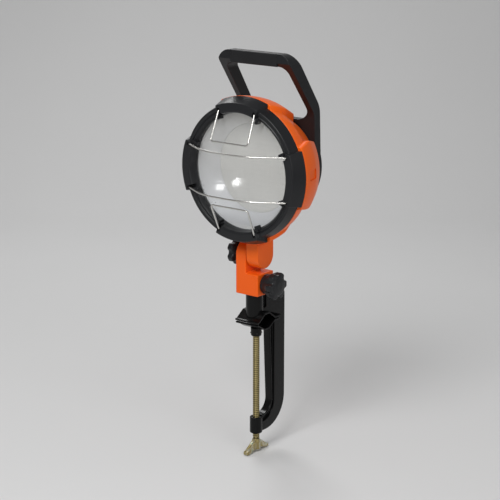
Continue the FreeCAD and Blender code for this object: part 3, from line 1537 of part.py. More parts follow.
def hexagon(sketch, radius):
    """Six corners on a circle."""
    corners = []
    for turn in range(6):
        angle = math.radians(60 * turn)
        corners.append((radius * round(math.cos(angle), 9), radius * round(math.sin(angle), 9)))
    outline(sketch, corners)


def gland_body():
    body = tube("gland_body", glandThreadRadius - size("screwSlip"), bushRadius - size("gripGauge"),
                plateInner - size("lockNut"), nutBack - size("glandNut") * HALF)
    sketch = new_sketch(body, "XY_Plane", lift=plateBack)
    hexagon(sketch, hexRadius)
    circle(sketch, 0, 0, bushRadius)
    pad(body, sketch, size("glandHex"))
    socket = new_sketch(body, "XY_Plane", lift=nutBack)
    circle(socket, 0, 0, bushRadius)
    pocket(body, socket, nutBack - plateBack)
    place_gland(body)
    return keep(body, "gland_body")


def gland_bush():
    """Rubber bush with the bore that the supply cord goes through."""
    body = tube("gland_bush", bushRadius - size("screwSlip") * HALF, size("glandBushBore") * HALF,
                plateBack, nutBack - size("glandNut") * 0.27)
    place_gland(body)
    return keep(body, "gland_bush")


def gland_dome_nut():
    body = turned("gland_dome_nut", [
        (glandThreadRadius + size("threadClearance"), hexBack), (hexRadius * 0.9, hexBack),
        (hexRadius * 0.9, nutBack - size("glandNut") * 0.45), (glandThreadRadius, nutBack),
        (size("glandBushBore") * HALF + 1, nutBack), (size("glandBushBore") * HALF + 1, nutBack - size("gripGauge")),
        (glandThreadRadius + size("threadClearance"), nutBack - size("glandNut") * 0.45)])
    place_gland(body)
    return keep(body, "gland_dome_nut")


def gland_lock_nut():
    body = new_body("gland_lock_nut")
    sketch = new_sketch(body, "XY_Plane", lift=plateInner - size("lockNut"))
    hexagon(sketch, hexRadius)
    circle(sketch, 0, 0, glandThreadRadius)
    pad(body, sketch, size("lockNut"))
    place_gland(body)
    return keep(body, "gland_lock_nut")


# ---------------------------------------------------------------- build

for make in (clamp_frame, swivel_post, thrust_washer, upper_jaw, jaw_screws, lower_jaw, jaw_collar,
             collar_pins, jaw_rivet, clamp_screw, wing_handle, wing_pin, bracket, bracket_insert,
             swivel_knob, swivel_knob_stud, pressure_pad, head_stem, stem_screws, pivot_stud, friction_disc,
             tilt_washer, tilt_knob, tilt_knob_insert, housing, bezel_ring, window_gasket, front_window,
             reflector, diffuser_disc, led_board, led_packages, heat_sink, sink_screws, driver_case,
             rear_gasket, carry_handle, grip_sleeve, gland_body, gland_bush, gland_dome_nut,
             gland_lock_nut):
    make()
    doc.recompute()
screw_group("ring_screws", ringScrewRadius, -ringScrewTail, ringScrewHead)
screw_group("handle_screws", plateScrewRadius, size("housingLength") - size("shellGauge"), plateHead, spin=45.0)
bowed_wire("guard_wire_upper", 1)
bowed_wire("guard_wire_lower", -1)
loop_wire("guard_loop_top", 1)
loop_wire("guard_loop_bottom", -1)
doc.recompute()

problems = []
for item in doc.Objects:
    if "Invalid" in item.State or "Error" in item.State:
        problems.append("%s: %s" % (item.Name, item.State))
for item in finished:
    if item.Shape.isNull() or not item.Shape.isValid():
        problems.append("%s: bad shape" % item.Label)
if problems:
    raise RuntimeError("; ".join(problems))

os.makedirs("parts", exist_ok=True)
for item in finished:
    item.Shape.exportStep("parts/%s.step" % item.Label)
    box = item.Shape.BoundBox
    print("%-18s %2d solids %9.1f mm3  x %.1f..%.1f y %.1f..%.1f z %.1f..%.1f" % (
        item.Label, len(item.Shape.Solids), item.Shape.Volume,
        box.XMin, box.XMax, box.YMin, box.YMax, box.ZMin, box.ZMax))
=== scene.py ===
import json
import math

import bmesh
import bpy
from mathutils import Matrix, Quaternion, Vector


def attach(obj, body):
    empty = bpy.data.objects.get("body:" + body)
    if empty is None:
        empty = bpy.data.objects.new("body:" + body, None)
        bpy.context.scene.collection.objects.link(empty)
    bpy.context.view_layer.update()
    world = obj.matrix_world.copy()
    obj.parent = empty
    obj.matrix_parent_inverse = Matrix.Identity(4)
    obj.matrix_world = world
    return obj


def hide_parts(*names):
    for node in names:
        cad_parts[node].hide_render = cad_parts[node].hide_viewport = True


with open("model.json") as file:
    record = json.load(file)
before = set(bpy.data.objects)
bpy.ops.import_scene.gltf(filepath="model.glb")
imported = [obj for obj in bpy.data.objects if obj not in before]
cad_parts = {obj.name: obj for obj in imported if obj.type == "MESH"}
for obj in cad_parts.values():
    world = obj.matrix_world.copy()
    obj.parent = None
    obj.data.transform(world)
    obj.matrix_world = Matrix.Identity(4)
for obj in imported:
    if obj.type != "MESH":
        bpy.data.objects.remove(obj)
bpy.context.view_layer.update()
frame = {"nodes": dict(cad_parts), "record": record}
nodes = frame["nodes"]
mm = 0.001     # sizes of pieces are in millimetres, and made() turns them into metres


def pivotOf(name):
    joint = next(joint for joint in frame["record"]["behaviour"]["joints"] if joint["name"] == name)
    return [round(value / mm, 3) for value in joint["pos_m"]]


# shared by several pieces
swivelY = pivotOf("bracket_swivel")[1]
knobZ = pivotOf("swivel_knob_turn")[2]
pivotZ = pivotOf("head_tilt")[2]
lamp = {"seam": -25.5, "axis": 214.5}     # the ring meets the housing at the seam
stemScrews = {"x": 9.65, "apart": 8, "hole": 2.1, "head": 3.85}
thread = {"crest": 5.0, "root": 4.2, "pitch": 3.0, "low": -197.0, "high": -33.3, "steps": 36, "fade": 2,
          "tail": 3.5, "foot": -212.8, "tailBevel": 0.6, "neck": 3.7, "neckTop": -29.9, "top": -26.6,
          "bevel": 1.2}

# the place is in metres, the angles are in degrees, and the lens and sensor in millimetres
camera = {"place": (1.320, -1.7227, 0.6665), "tilt": 75.2, "turn": 37.7, "lens": 111.84, "sensor": 36,
          "far": 50}


def addCamera():
    data = bpy.data.cameras.new("camera")
    data.lens = camera["lens"]
    data.sensor_width = camera["sensor"]
    data.clip_end = camera["far"]
    item = bpy.data.objects.new("camera", data)
    item.location = camera["place"]
    item.rotation_euler = (math.radians(camera["tilt"]), 0, math.radians(camera["turn"]))
    bpy.context.scene.collection.objects.link(item)
    bpy.context.scene.camera = item


addCamera()
print("camera placed")


# a socket that takes part in expressions
class Value:
    def __init__(self, finish, socket):
        self.finish = finish
        self.socket = socket

    def __add__(self, other):
        return self.finish.maths("ADD", self, other)

    def __radd__(self, other):
        return self.finish.maths("ADD", other, self)

    def __sub__(self, other):
        return self.finish.maths("SUBTRACT", self, other)

    def __rsub__(self, other):
        return self.finish.maths("SUBTRACT", other, self)

    def __mul__(self, other):
        return self.finish.maths("MULTIPLY", self, other)

    def __rmul__(self, other):
        return self.finish.maths("MULTIPLY", other, self)

    def __pow__(self, other):
        return self.finish.maths("POWER", self, other)

    def __rpow__(self, other):
        return self.finish.maths("POWER", other, self)

    def clamped(self):
        return self.finish.node("ShaderNodeMath", {"operation": "ADD", "use_clamp": True}, {0: self, 1: 0.0})


class Finish:
    def __init__(self, name):
        self.material = bpy.data.materials.new(name)
        self.material.use_nodes = True
        self.tree = self.material.node_tree
        self.surface = self.tree.nodes["Principled BSDF"]
        self.place = self.tree.nodes.new("ShaderNodeTexCoord").outputs["Object"]

    def node(self, kind, settings=None, inputs=None, output=0):
        item = self.tree.nodes.new(kind)
        for key, value in (settings or {}).items():
            if key == "stops":
                ramp = item.color_ramp
                while len(ramp.elements) < len(value):
                    ramp.elements.new(0.5)
                for element, (spot, colour) in zip(ramp.elements, value):
                    element.position = spot
                    element.color = (*colour, 1)
            else:
                setattr(item, key, value)
        for key, value in (inputs or {}).items():
            self.feed(item.inputs[key], value)
        return Value(self, item.outputs[output])

    def feed(self, socket, value):
        if isinstance(value, Value):
            value = value.socket
        if isinstance(value, bpy.types.NodeSocket):
            self.tree.links.new(value, socket)
        elif isinstance(value, tuple) and len(value) == 3 and socket.type == "RGBA":
            socket.default_value = (*value, 1)
        else:
            socket.default_value = value

    def maths(self, operation, *values):
        return self.node("ShaderNodeMath", {"operation": operation}, dict(enumerate(values)))

    def along(self, axis):
        return self.node("ShaderNodeSeparateXYZ", None, {"Vector": self.place}, axis)

    def noise(self, scale, detail=3.0, rough=0.55, stretch=None):
        where = self.place
        if stretch:
            where = self.node("ShaderNodeMapping", None, {"Vector": where, "Scale": stretch})
        return self.node("ShaderNodeTexNoise", None,
                         {"Vector": where, "Scale": scale, "Detail": detail, "Roughness": rough})

    def between(self, amount, low, high):
        return self.node("ShaderNodeMapRange", {"clamp": True},
                         {"Value": amount, "From Min": low, "From Max": high})

    def blend(self, amount, first, second):
        return self.node("ShaderNodeMix", {"data_type": "RGBA"}, {0: amount, 6: first, 7: second}, 2)

    def edges(self, radius):
        return self.node("ShaderNodeBevel", {"samples": 4}, {"Radius": radius})

    def bumped(self, height, distance, strength=1.0, normal=None):
        inputs = {"Height": height, "Distance": distance, "Strength": strength}
        if normal is not None:
            inputs["Normal"] = normal
        return self.node("ShaderNodeBump", None, inputs)

    def set(self, **sockets):
        names = {"colour": "Base Color", "rough": "Roughness", "metal": "Metallic", "coat": "Coat Weight",
                 "coatRough": "Coat Roughness", "normal": "Normal", "alpha": "Alpha",
                 "specular": "Specular IOR Level"}
        for key, value in sockets.items():
            self.feed(self.surface.inputs[names[key]], value)
        return self.material


# in the finishes, noise scales are per metre, and lengths are in metres
def orangePlastic():
    look = {"colour": (0.92, 0.14, 0.007), "deep": (0.84, 0.105, 0.005), "rough": 0.34, "clouds": 14,
            "scuffs": 60, "grain": 900, "depth": 0.00006, "edge": 0.0008}
    paint = Finish("orangePlastic")
    cloud = paint.noise(look["clouds"], 3)
    grain = paint.noise(look["grain"], 2)
    scuff = paint.between(paint.noise(look["scuffs"], 6, 0.7, (1, 1, 0.3)), 0.62, 0.75)
    return paint.set(colour=paint.blend(cloud * 0.5 + scuff * 0.25, look["colour"], look["deep"]),
                     rough=cloud * 0.08 + scuff * 0.14 + look["rough"],
                     specular=0.22, coat=0.04, coatRough=0.25,
                     normal=paint.bumped(grain, look["depth"], 0.5, paint.edges(look["edge"])))


def orangePaint():
    look = {"colour": (0.86, 0.118, 0.006), "deep": (0.78, 0.09, 0.004), "rough": 0.31, "clouds": 20,
            "peel": 420, "depth": 0.00008, "edge": 0.0007}
    paint = Finish("orangePaint")
    cloud = paint.noise(look["clouds"], 3)
    peel = paint.noise(look["peel"], 1.5)
    return paint.set(colour=paint.blend(cloud * 0.5, look["colour"], look["deep"]),
                     rough=cloud * 0.07 + look["rough"], specular=0.22, coat=0.06, coatRough=0.2,
                     normal=paint.bumped(peel, look["depth"], 0.4, paint.edges(look["edge"])))


def blackPlastic():
    look = {"colour": (0.010, 0.0105, 0.012), "dusty": (0.018, 0.0185, 0.020), "rough": 0.26, "clouds": 18,
            "scuffs": 90, "grain": 1100, "depth": 0.00008, "edge": 0.0008}
    paint = Finish("blackPlastic")
    cloud = paint.noise(look["clouds"], 4)
    grain = paint.noise(look["grain"], 2)
    scuff = paint.between(paint.noise(look["scuffs"], 6, 0.7, (1, 0.4, 1)), 0.6, 0.74)
    return paint.set(colour=paint.blend(cloud * 0.6 + scuff * 0.4, look["colour"], look["dusty"]),
                     rough=grain * 0.12 + scuff * 0.12 + look["rough"], specular=0.28,
                     normal=paint.bumped(grain, look["depth"], 0.5, paint.edges(look["edge"])))


def gripRubber():
    look = {"colour": (0.009, 0.009, 0.010), "worn": (0.015, 0.015, 0.016), "rough": 0.40, "clouds": 25,
            "grain": 700, "depth": 0.00018, "edge": 0.0008}
    paint = Finish("gripRubber")
    cloud = paint.noise(look["clouds"], 4)
    grain = paint.noise(look["grain"], 3)
    return paint.set(colour=paint.blend(cloud, look["colour"], look["worn"]),
                     rough=grain * 0.16 + look["rough"], specular=0.25,
                     normal=paint.bumped(grain, look["depth"], 0.6, paint.edges(look["edge"])))


def blackPaint():
    look = {"colour": (0.002, 0.002, 0.0022), "thin": (0.0045, 0.0045, 0.0045), "rough": 0.16, "clouds": 30,
            "chips": 210, "cast": 260, "depth": 0.00022, "edge": 0.0007}
    paint = Finish("blackPaint")
    cloud = paint.noise(look["clouds"], 4)
    cast = paint.noise(look["cast"], 4, 0.6)
    chips = paint.between(paint.noise(look["chips"], 5, 0.75), 0.66, 0.72)
    return paint.set(colour=paint.blend(cloud * 0.6 + chips * 0.4, look["colour"], look["thin"]),
                     rough=cloud * 0.14 + chips * 0.15 + look["rough"],
                     specular=0.16, coat=0.05, coatRough=0.08,
                     normal=paint.bumped(cast, look["depth"], 0.45, paint.edges(look["edge"])))


# the wing has a coloured film, and the rod is plain with painted shade in its thread roots
def yellowChromate():
    look = {"yellow": (0.37, 0.30, 0.13), "green": (0.22, 0.36, 0.20), "rose": (0.47, 0.28, 0.20),
            # the groove colour is painted shade for the thread roots
            "pale": (0.62, 0.60, 0.48), "deep": (0.30, 0.25, 0.11), "groove": (0.09, 0.07, 0.03),
            "rough": 0.28, "film": 120, "blend": 0.4, "clouds": 60, "grain": 600, "depth": 0.00008,
            "edge": 0.0003}
    paint = Finish("yellowChromate")
    film = paint.between(paint.noise(look["film"], 3, 0.6), 0.3, 0.7)
    facing = paint.node("ShaderNodeLayerWeight", None, {"Blend": look["blend"]}, "Facing")
    tint = paint.node("ShaderNodeValToRGB", {"stops": [
        (0.3, look["yellow"]), (0.62, look["pale"]), (0.7, look["green"]), (0.8, look["yellow"]),
        (0.95, look["rose"])]}, {"Fac": film * 0.7 + facing * 0.3})
    grain = paint.noise(look["grain"], 2)
    shade = paint.node("ShaderNodeValToRGB", {"stops": [(0.3, look["yellow"]), (0.8, look["deep"])]},
                       {"Fac": paint.noise(look["clouds"], 3)})
    # painted shade: the thread roots are darker than the crests
    reach = (paint.along("X") ** 2 + paint.along("Y") ** 2) ** 0.5
    clearOfRootShade = paint.between(reach, thread["root"] * mm, thread["crest"] * mm)
    shade = paint.blend(clearOfRootShade, look["groove"], shade)
    low = thread["low"] * mm
    tint = paint.blend(paint.between(paint.along("Z"), low - 0.5 * mm, low), tint, shade)
    return paint.set(colour=tint, metal=0.82, rough=grain * 0.16 + look["rough"],
                     normal=paint.bumped(grain, look["depth"], 0.4, paint.edges(look["edge"])))


def chromeWire():
    look = {"colour": (0.66, 0.65, 0.62), "dull": (0.48, 0.46, 0.43), "rough": 0.20, "drawn": 500,
            "spots": 160}
    paint = Finish("chromeWire")
    draw = paint.noise(look["drawn"], 2, 0.5, (0.1, 1, 1))
    spots = paint.between(paint.noise(look["spots"], 4, 0.7), 0.62, 0.72)
    return paint.set(colour=paint.blend(spots * 0.5, look["colour"], look["dull"]), metal=1.0,
                     rough=draw * 0.08 + spots * 0.15 + look["rough"],
                     normal=paint.bumped(draw, 0.00003, 0.3))


def windowGlass():
    look = {"colour": (0.86, 0.87, 0.88), "alpha": 0.10, "edge": 0.55, "ior": 1.49, "dust": 35, "rough": 0.04}
    paint = Finish("windowGlass")
    rim = paint.node("ShaderNodeFresnel", None, {"IOR": look["ior"]})
    dust = paint.between(paint.noise(look["dust"], 5, 0.7), 0.5, 0.8)
    return paint.set(colour=look["colour"], rough=dust * 0.06 + look["rough"],
                     alpha=(rim * look["edge"] + dust * 0.05 + look["alpha"]).clamped())


# painted reflection, warmer above and cooler below, and a painted highlight as a pale rim at the lower right
def silverReflector():
    look = {"upper": (0.83, 0.815, 0.775), "lower": (0.80, 0.815, 0.85), "split": (0.15, 0.28),
            "dark": (0.4, 0.4, 0.42), "dull": 0.12, "paintedRimHighlight": (0.95, 0.95, 0.94), "rim": (0.0805, 0.0815),
            "corner": (-0.18, -0.13), "rough": 0.37, "ripple": 22, "fine": 300}
    paint = Finish("silverReflector")
    height = paint.along("Z")
    across = paint.along("X")
    # painted reflection: the colour goes from cool below to warm above
    shade = paint.blend(paint.between(height, *look["split"]), look["lower"], look["upper"])
    reach = (across * across + (height - lamp["axis"] * mm) ** 2) ** 0.5
    # painted highlight: a pale band on the rim at the lower right
    corner = paint.between(reach, *look["rim"]) * paint.between(across - height, *look["corner"])
    shade = paint.blend(corner, shade, look["paintedRimHighlight"])
    ripple = paint.noise(look["ripple"], 2, 0.4)
    fine = paint.noise(look["fine"], 2)
    return paint.set(colour=paint.blend(ripple * look["dull"], shade, look["dark"]), metal=0.4,
                     rough=ripple * 0.12 + look["rough"],
                     normal=paint.bumped(ripple, 0.0012, 0.25, paint.bumped(fine, 0.00003, 0.3)))


# a faint square lattice moulded into the disc
def diffuser():
    look = {"colour": (0.76, 0.75, 0.70), "line": (0.67, 0.66, 0.61), "pitch": 0.0075, "clouds": 16,
            "rough": 0.3}
    paint = Finish("diffuserPlastic")
    waves = [paint.maths("SINE", paint.along(axis) * (math.tau / look["pitch"])) for axis in "XZ"]
    lines = paint.between(paint.maths("MAXIMUM", *waves), 0.9, 1.0)
    cloud = paint.noise(look["clouds"], 2)
    return paint.set(colour=paint.blend(lines * 0.7 + cloud * 0.2, look["colour"], look["line"]),
                     rough=cloud * 0.1 + look["rough"], coat=0.8, coatRough=0.045,
                     normal=paint.bumped(lines, 0.0001, 0.4))


# each has two colours, a cloud noise, roughness and perhaps metal as (base, change), a grain noise where it
# isn't the cloud's, the bump's (depth, strength), and the edge radius
plainLooks = {
    "blackSteel": {"colours": ((0.012, 0.012, 0.013), (0.03, 0.029, 0.028)), "cloud": (60, 4),
                   "rough": (0.28, 0.2), "metal": (0.4, 0.3), "grain": (500, 3), "bump": (0.0001, 0.4),
                   "edge": 0.0004},
    "whiteBoard": {"colours": ((0.72, 0.73, 0.72), (0.62, 0.64, 0.63)), "cloud": (40, 3),
                   "rough": (0.35, 0.1)},
    "ledPhosphor": {"colours": ((0.85, 0.62, 0.08), (0.75, 0.5, 0.05)), "cloud": (300, 3),
                    "rough": (0.4, 0.1)},
    "castAluminium": {"colours": ((0.50, 0.51, 0.53), (0.62, 0.63, 0.64)), "cloud": (120, 5, 0.7),
                      "rough": (0.35, 0.2), "metal": 0.9, "bump": (0.0001, 0.5), "edge": 0.0005},
    "driverPaint": {"colours": ((0.06, 0.06, 0.065), (0.1, 0.1, 0.105)), "cloud": (80, 4),
                    "rough": (0.4, 0.2), "grain": (500, 2), "bump": (0.0001, 0.5), "edge": 0.0006},
    "brightSteel": {"colours": ((0.52, 0.52, 0.53), (0.66, 0.65, 0.64)), "cloud": (400, 3, 0.6, (1, 1, 4)),
                    "rough": (0.2, 0.2), "metal": 1.0, "bump": (0.00005, 0.4), "edge": 0.0003},
    "brassInsert": {"colours": ((0.70, 0.50, 0.20), (0.60, 0.40, 0.15)), "cloud": (200, 3),
                    "rough": (0.25, 0.15), "metal": 1.0, "bump": (0.00005, 0.4)},
    "softRubber": {"colours": ((0.016, 0.016, 0.017), (0.032, 0.031, 0.031)), "cloud": (60, 4),
                   "rough": (0.6, 0.15), "grain": (700, 2), "bump": (0.0001, 0.5), "edge": 0.0005},
    "discPlastic": {"colours": ((0.70, 0.69, 0.64), (0.60, 0.58, 0.52)), "cloud": (90, 4),
                    "rough": (0.4, 0.15), "bump": (0.00006, 0.4)}}


def plainFinish(name):
    look = plainLooks[name]
    paint = Finish(name)
    cloud = paint.noise(*look["cloud"])
    base, change = look["rough"]
    sockets = {"colour": paint.blend(cloud, *look["colours"]), "rough": cloud * change + base}
    metal = look.get("metal", 0.0)
    sockets["metal"] = cloud * metal[1] + metal[0] if isinstance(metal, tuple) else metal
    if "bump" in look:
        grain = paint.noise(*look["grain"]) if "grain" in look else cloud
        edge = paint.edges(look["edge"]) if "edge" in look else None
        sockets["normal"] = paint.bumped(grain, *look["bump"], edge)
    return paint.set(**sockets)


finishes = {
    "orange_plastic": orangePlastic(), "orange_paint": orangePaint(), "black_plastic": blackPlastic(),
    "grip_rubber": gripRubber(), "black_paint": blackPaint(), "black_steel": plainFinish("blackSteel"),
    "yellow_chromate": yellowChromate(), "chrome_wire": chromeWire(), "window_glass": windowGlass(),
    "silver_reflector": silverReflector(), "diffuser": diffuser(), "white_board": plainFinish("whiteBoard"),
    "led": plainFinish("ledPhosphor"), "aluminium": plainFinish("castAluminium"),
    "driver_paint": plainFinish("driverPaint"), "steel": plainFinish("brightSteel"),
    "brass": plainFinish("brassInsert"), "rubber": plainFinish("softRubber"),
    "disc_plastic": plainFinish("discPlastic"), "gland_plastic": blackPlastic()}
print("finishes made:", len(finishes))


# corners are (a, b), or (a, b, radius) where the corner is rounded
def rounded(corners, steps=5):
    result = []
    count = len(corners)
    for i, corner in enumerate(corners):
        here = Vector(corner[:2])
        if len(corner) < 3:
            result.append(tuple(here))
            continue
        before = (Vector(corners[i - 1][:2]) - here).normalized()
        after = (Vector(corners[(i + 1) % count][:2]) - here).normalized()
        half = before.angle(after) / 2
        middle = here + (before + after).normalized() * (corner[2] / math.sin(half))
        first = here + before * (corner[2] / math.tan(half)) - middle
        last = here + after * (corner[2] / math.tan(half)) - middle
        start = math.atan2(first.y, first.x)
        sweep = math.atan2(first.x * last.y - first.y * last.x, first.dot(last))
        for k in range(steps + 1):
            angle = start + sweep * k / steps
            result.append((middle.x + corner[2] * math.cos(angle), middle.y + corner[2] * math.sin(angle)))
    return result


def made(name, points, faces):
    mesh = bpy.data.meshes.new(name)
    mesh.from_pydata([[value * mm for value in point] for point in points], [], faces)
    work = bmesh.new()
    work.from_mesh(mesh)
    bmesh.ops.remove_doubles(work, verts=work.verts, dist=2e-7)
    bmesh.ops.dissolve_degenerate(work, edges=work.edges, dist=1e-7)
    bmesh.ops.recalc_face_normals(work, faces=work.faces)
    work.to_mesh(mesh)
    work.free()
    item = bpy.data.objects.new(name, mesh)
    bpy.context.scene.collection.objects.link(item)
    return item


# rings of points joined in order, as a closed loop or with flat ends
def lofted(name, rings, closed=True):
    size = len(rings[0])
    points = [point for ring in rings for point in ring]
    faces = []
    for k in range(len(rings) if closed else len(rings) - 1):
        here, there = k * size, (k + 1) % len(rings) * size
        for j in range(size):
            after = (j + 1) % size
            faces.append((here + j, here + after, there + after, there + j))
    if not closed:
        faces.append(tuple(range(size)))
        faces.append(tuple(range(len(points) - 1, len(points) - size - 1, -1)))
    return made(name, points, faces)


# places a radius, a distance along the axis and an angle round it
def about(axis, centre=(0, 0, 0)):
    x, y, z = centre
    return {
        "x": lambda r, t, angle: (x + t, y + r * math.cos(angle), z + r * math.sin(angle)),
        "y": lambda r, t, angle: (x + r * math.cos(angle), y + t, z + r * math.sin(angle)),
        "z": lambda r, t, angle: (x + r * math.cos(angle), y + r * math.sin(angle), z + t)}[axis]


# section is an outline of (radius, distance), or a function that gives one for each angle
def spun(name, place, section, steps=72):
    rings = []
    for k in range(steps):
        angle = math.tau * k / steps
        outline = section(angle) if callable(section) else section
        rings.append([place(r, t, angle) for r, t in outline])
    return lofted(name, rings)


def slab(name, plane, outline, low, high):
    place = {"yz": lambda a, b, c: (c, a, b), "xz": lambda a, b, c: (a, c, b),
             "xy": lambda a, b, c: (a, b, c)}[plane]
    return lofted(name, [[place(a, b, c) for a, b in outline] for c in (low, high)], closed=False)


def plug(axis, centre, radius, low, high, steps=48):
    return spun("tool", about(axis, centre), [(0, low), (radius, low), (radius, high), (0, high)], steps)


def block(x0, x1, y0, y1, z0, z1):
    return slab("tool", "xy", [(x0, y0), (x1, y0), (x1, y1), (x0, y1)], z0, z1)


# applies an item's modifiers to its mesh
def settle(item):
    bpy.context.view_layer.update()
    result = bpy.data.meshes.new_from_object(item.evaluated_get(bpy.context.evaluated_depsgraph_get()))
    item.modifiers.clear()
    item.data = result
    return item


def combined(item, kind, *tools):
    for tool in tools:
        change = item.modifiers.new("change", "BOOLEAN")
        change.operation = kind
        change.solver = "EXACT"
        change.object = tool
        settle(item)
        bpy.data.objects.remove(tool)
    return item


def cut(item, *tools):
    return combined(item, "DIFFERENCE", *tools)


# bevels every edge that is sharper than the angle
def softened(item, width, angle=28, steps=3):
    work = bmesh.new()
    work.from_mesh(item.data)
    bmesh.ops.remove_doubles(work, verts=work.verts, dist=2e-6)
    bmesh.ops.dissolve_limit(work, angle_limit=math.radians(0.8), verts=work.verts, edges=work.edges)
    work.to_mesh(item.data)
    work.free()
    edge = item.modifiers.new("soften", "BEVEL")
    edge.width = width * mm
    edge.segments = steps
    edge.limit_method = "ANGLE"
    edge.angle_limit = math.radians(angle)
    edge.use_clamp_overlap = True
    edge.miter_outer = "MITER_ARC"
    return settle(item)


def finished(item, body, slotName, *replaced, angle=32):
    item.name = item.data.name = item.name.split(".")[0]
    item.data.polygons.foreach_set("use_smooth", [True] * len(item.data.polygons))
    item.data.set_sharp_from_angle(angle=math.radians(angle))
    even = item.modifiers.new("even", "WEIGHTED_NORMAL")
    even.keep_sharp = True
    item.data.materials.clear()
    item.data.materials.append(finishes[slotName])
    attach(item, body)
    if replaced:
        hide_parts(*replaced)
    return item


# goes smoothly from 0 at low to 1 at high
def ease(value, low, high):
    value = min(max((value - low) / (high - low), 0), 1)
    return value * value * (3 - 2 * value)


for subpart in frame["record"]["subparts"]:
    item = nodes[subpart["node"]]
    item.data.materials.clear()
    item.data.materials.append(finishes[subpart["material_slot"]])
print("frame pieces finished:", len(nodes))

jaws = {"gauge": 2.5, "seat": 5, "foot": 20, "front": 23.5, "soft": 0.7}
upperJaw = {"lip": -10.6, "seatZ": 0, "rear": 34, "width": 41, "near": (2, 1.5), "far": (1, 2),
            "slot": 6.4, "slotFrom": 23.1, "screwX": 9.2, "screwY": -1.5, "hole": 1.55, "head": 3.05,
            "sink": 1.5}
lowerJaw = {"lip": -12.1, "seatZ": -21.1, "rear": 30, "width": 39.5, "near": (1, 2), "far": (2, 1.5),
            "slot": 6.75, "slotFrom": 22.4, "rivet": 2.1}


def jawPlate(name, jaw, gauge):
    foot, seat = jaws["foot"], jaws["seat"]
    lip, middle = jaw["lip"], jaw["seatZ"]
    nearFoot, nearSeat = jaw["near"]
    farFoot, farSeat = jaw["far"]
    outline = [(-jaws["front"], lip), (-foot, lip, nearFoot), (-seat, middle, nearSeat),
               (seat, middle, nearSeat), (foot, lip, nearFoot), (jaw["rear"], lip),
               (jaw["rear"], lip + gauge), (foot, lip + gauge, farFoot), (seat, middle + gauge, farSeat),
               (-seat, middle + gauge, farSeat), (-foot, lip + gauge, farFoot), (-jaws["front"], lip + gauge)]
    plate = slab(name, "yz", rounded(outline), -jaw["width"] / 2, jaw["width"] / 2)
    return cut(plate, block(-jaw["slot"], jaw["slot"], jaw["slotFrom"], 50, -40, 20))


def makeJaws():
    j = upperJaw
    plate = jawPlate("upper_jaw_plate", j, jaws["gauge"])
    for side in (-1, 1):
        cut(plate, spun("tool", about("z", (j["screwX"] * side, j["screwY"], 0)), [
            (0, -0.1), (j["head"], -0.1), (j["head"], 0), (j["hole"], j["sink"]), (j["hole"], 5),
            (0, 5)], 32))
    finished(softened(plate, jaws["soft"], 40), "clamp", "black_paint", "upper_jaw")
    plate = jawPlate("lower_jaw_plate", lowerJaw, -jaws["gauge"])
    cut(plate, plug("z", (0, 0, 0), lowerJaw["rivet"], -30, 0))
    finished(softened(plate, jaws["soft"], 40), "lower_jaw", "black_paint", "lower_jaw")


makeJaws()

collar = {"radius": 8.25, "top": -23.6, "bottom": -36.6, "taper": 0.5, "bore": 5.05, "floor": -26.3}


def makeCollar():
    c = collar
    rivet = lowerJaw["rivet"]
    section = rounded([
        (rivet, c["top"]), (c["radius"], c["top"], 0.4), (c["radius"] - c["taper"], c["bottom"], 2.2),
        (c["bore"], c["bottom"]), (c["bore"], c["floor"]), (rivet, c["floor"])])
    finished(spun("screw_collar", about("z"), section), "lower_jaw", "black_paint", "jaw_collar", angle=50)


makeCollar()

casting = {"half": 6.25, "web": 2.5, "back": 62, "armTop": 24, "start": 5.5, "armUpper": -160.5,
           "armLower": -186.5, "throat": 23.4, "throatLow": 31, "front": 3, "rear": 36, "arm": 3.5,
           "groove": 7.5, "slim": 16, "recessTop": -13.3, "recessStart": 4, "soft": 1.3,
           "bore": 5.06, "boss": 9.4, "bossTop": -162.5, "bossLow": -187.5}


def makeCasting():
    c = casting
    outline = [(-4, 2.5), (5, 2.5), (20, -7), (c["throat"], -7), (c["throatLow"], c["armUpper"], 20),
               (c["start"], c["armUpper"]), (c["start"], c["armLower"]), (c["back"], c["armLower"], 46),
               (c["back"], c["armTop"], 8), (-4, c["armTop"])]
    arm = slab("clamp_casting", "yz", rounded(outline, 12), -c["half"], c["half"])
    top = c["armUpper"] - c["arm"]
    low = top - c["groove"]
    lower = [(c["throat"] + c["front"], c["recessTop"], 1.5), (c["throatLow"] + c["front"], top, 23.5),
             (c["recessStart"], top), (c["recessStart"], low), (c["rear"], low, 27.25),
             (c["rear"], c["recessTop"], 1.5)]
    upper = [(6.35, 5), (c["slim"], 5, 1.5), (c["slim"], 40), (6.35, 40)]
    for corners in (lower, upper):
        for near, far in ((c["web"], 12), (-12, -c["web"])):
            cut(arm, slab("tool", "yz", rounded(corners, 12), near, far))
    softened(arm, c["soft"], 35)
    combined(arm, "UNION", spun("tool", about("z"), rounded([
        (c["bore"], c["bossTop"]), (c["boss"], c["bossTop"], 1.2), (c["boss"], c["bossLow"], 2.0),
        (c["bore"], c["bossLow"])])))
    finished(arm, "clamp", "black_paint", "clamp_frame", angle=38)


makeCasting()

post = {"radius": 12.7, "low": -9.5, "top": 29.2, "spigot": 9.5, "spigotTop": 55.2, "groove": 7.3,
        "grooveLow": 42.95, "grooveTop": 50.55, "soft": 1.2, "slot": 6.26, "webSlot": 2.55,
        "screwDepth": 14.3}


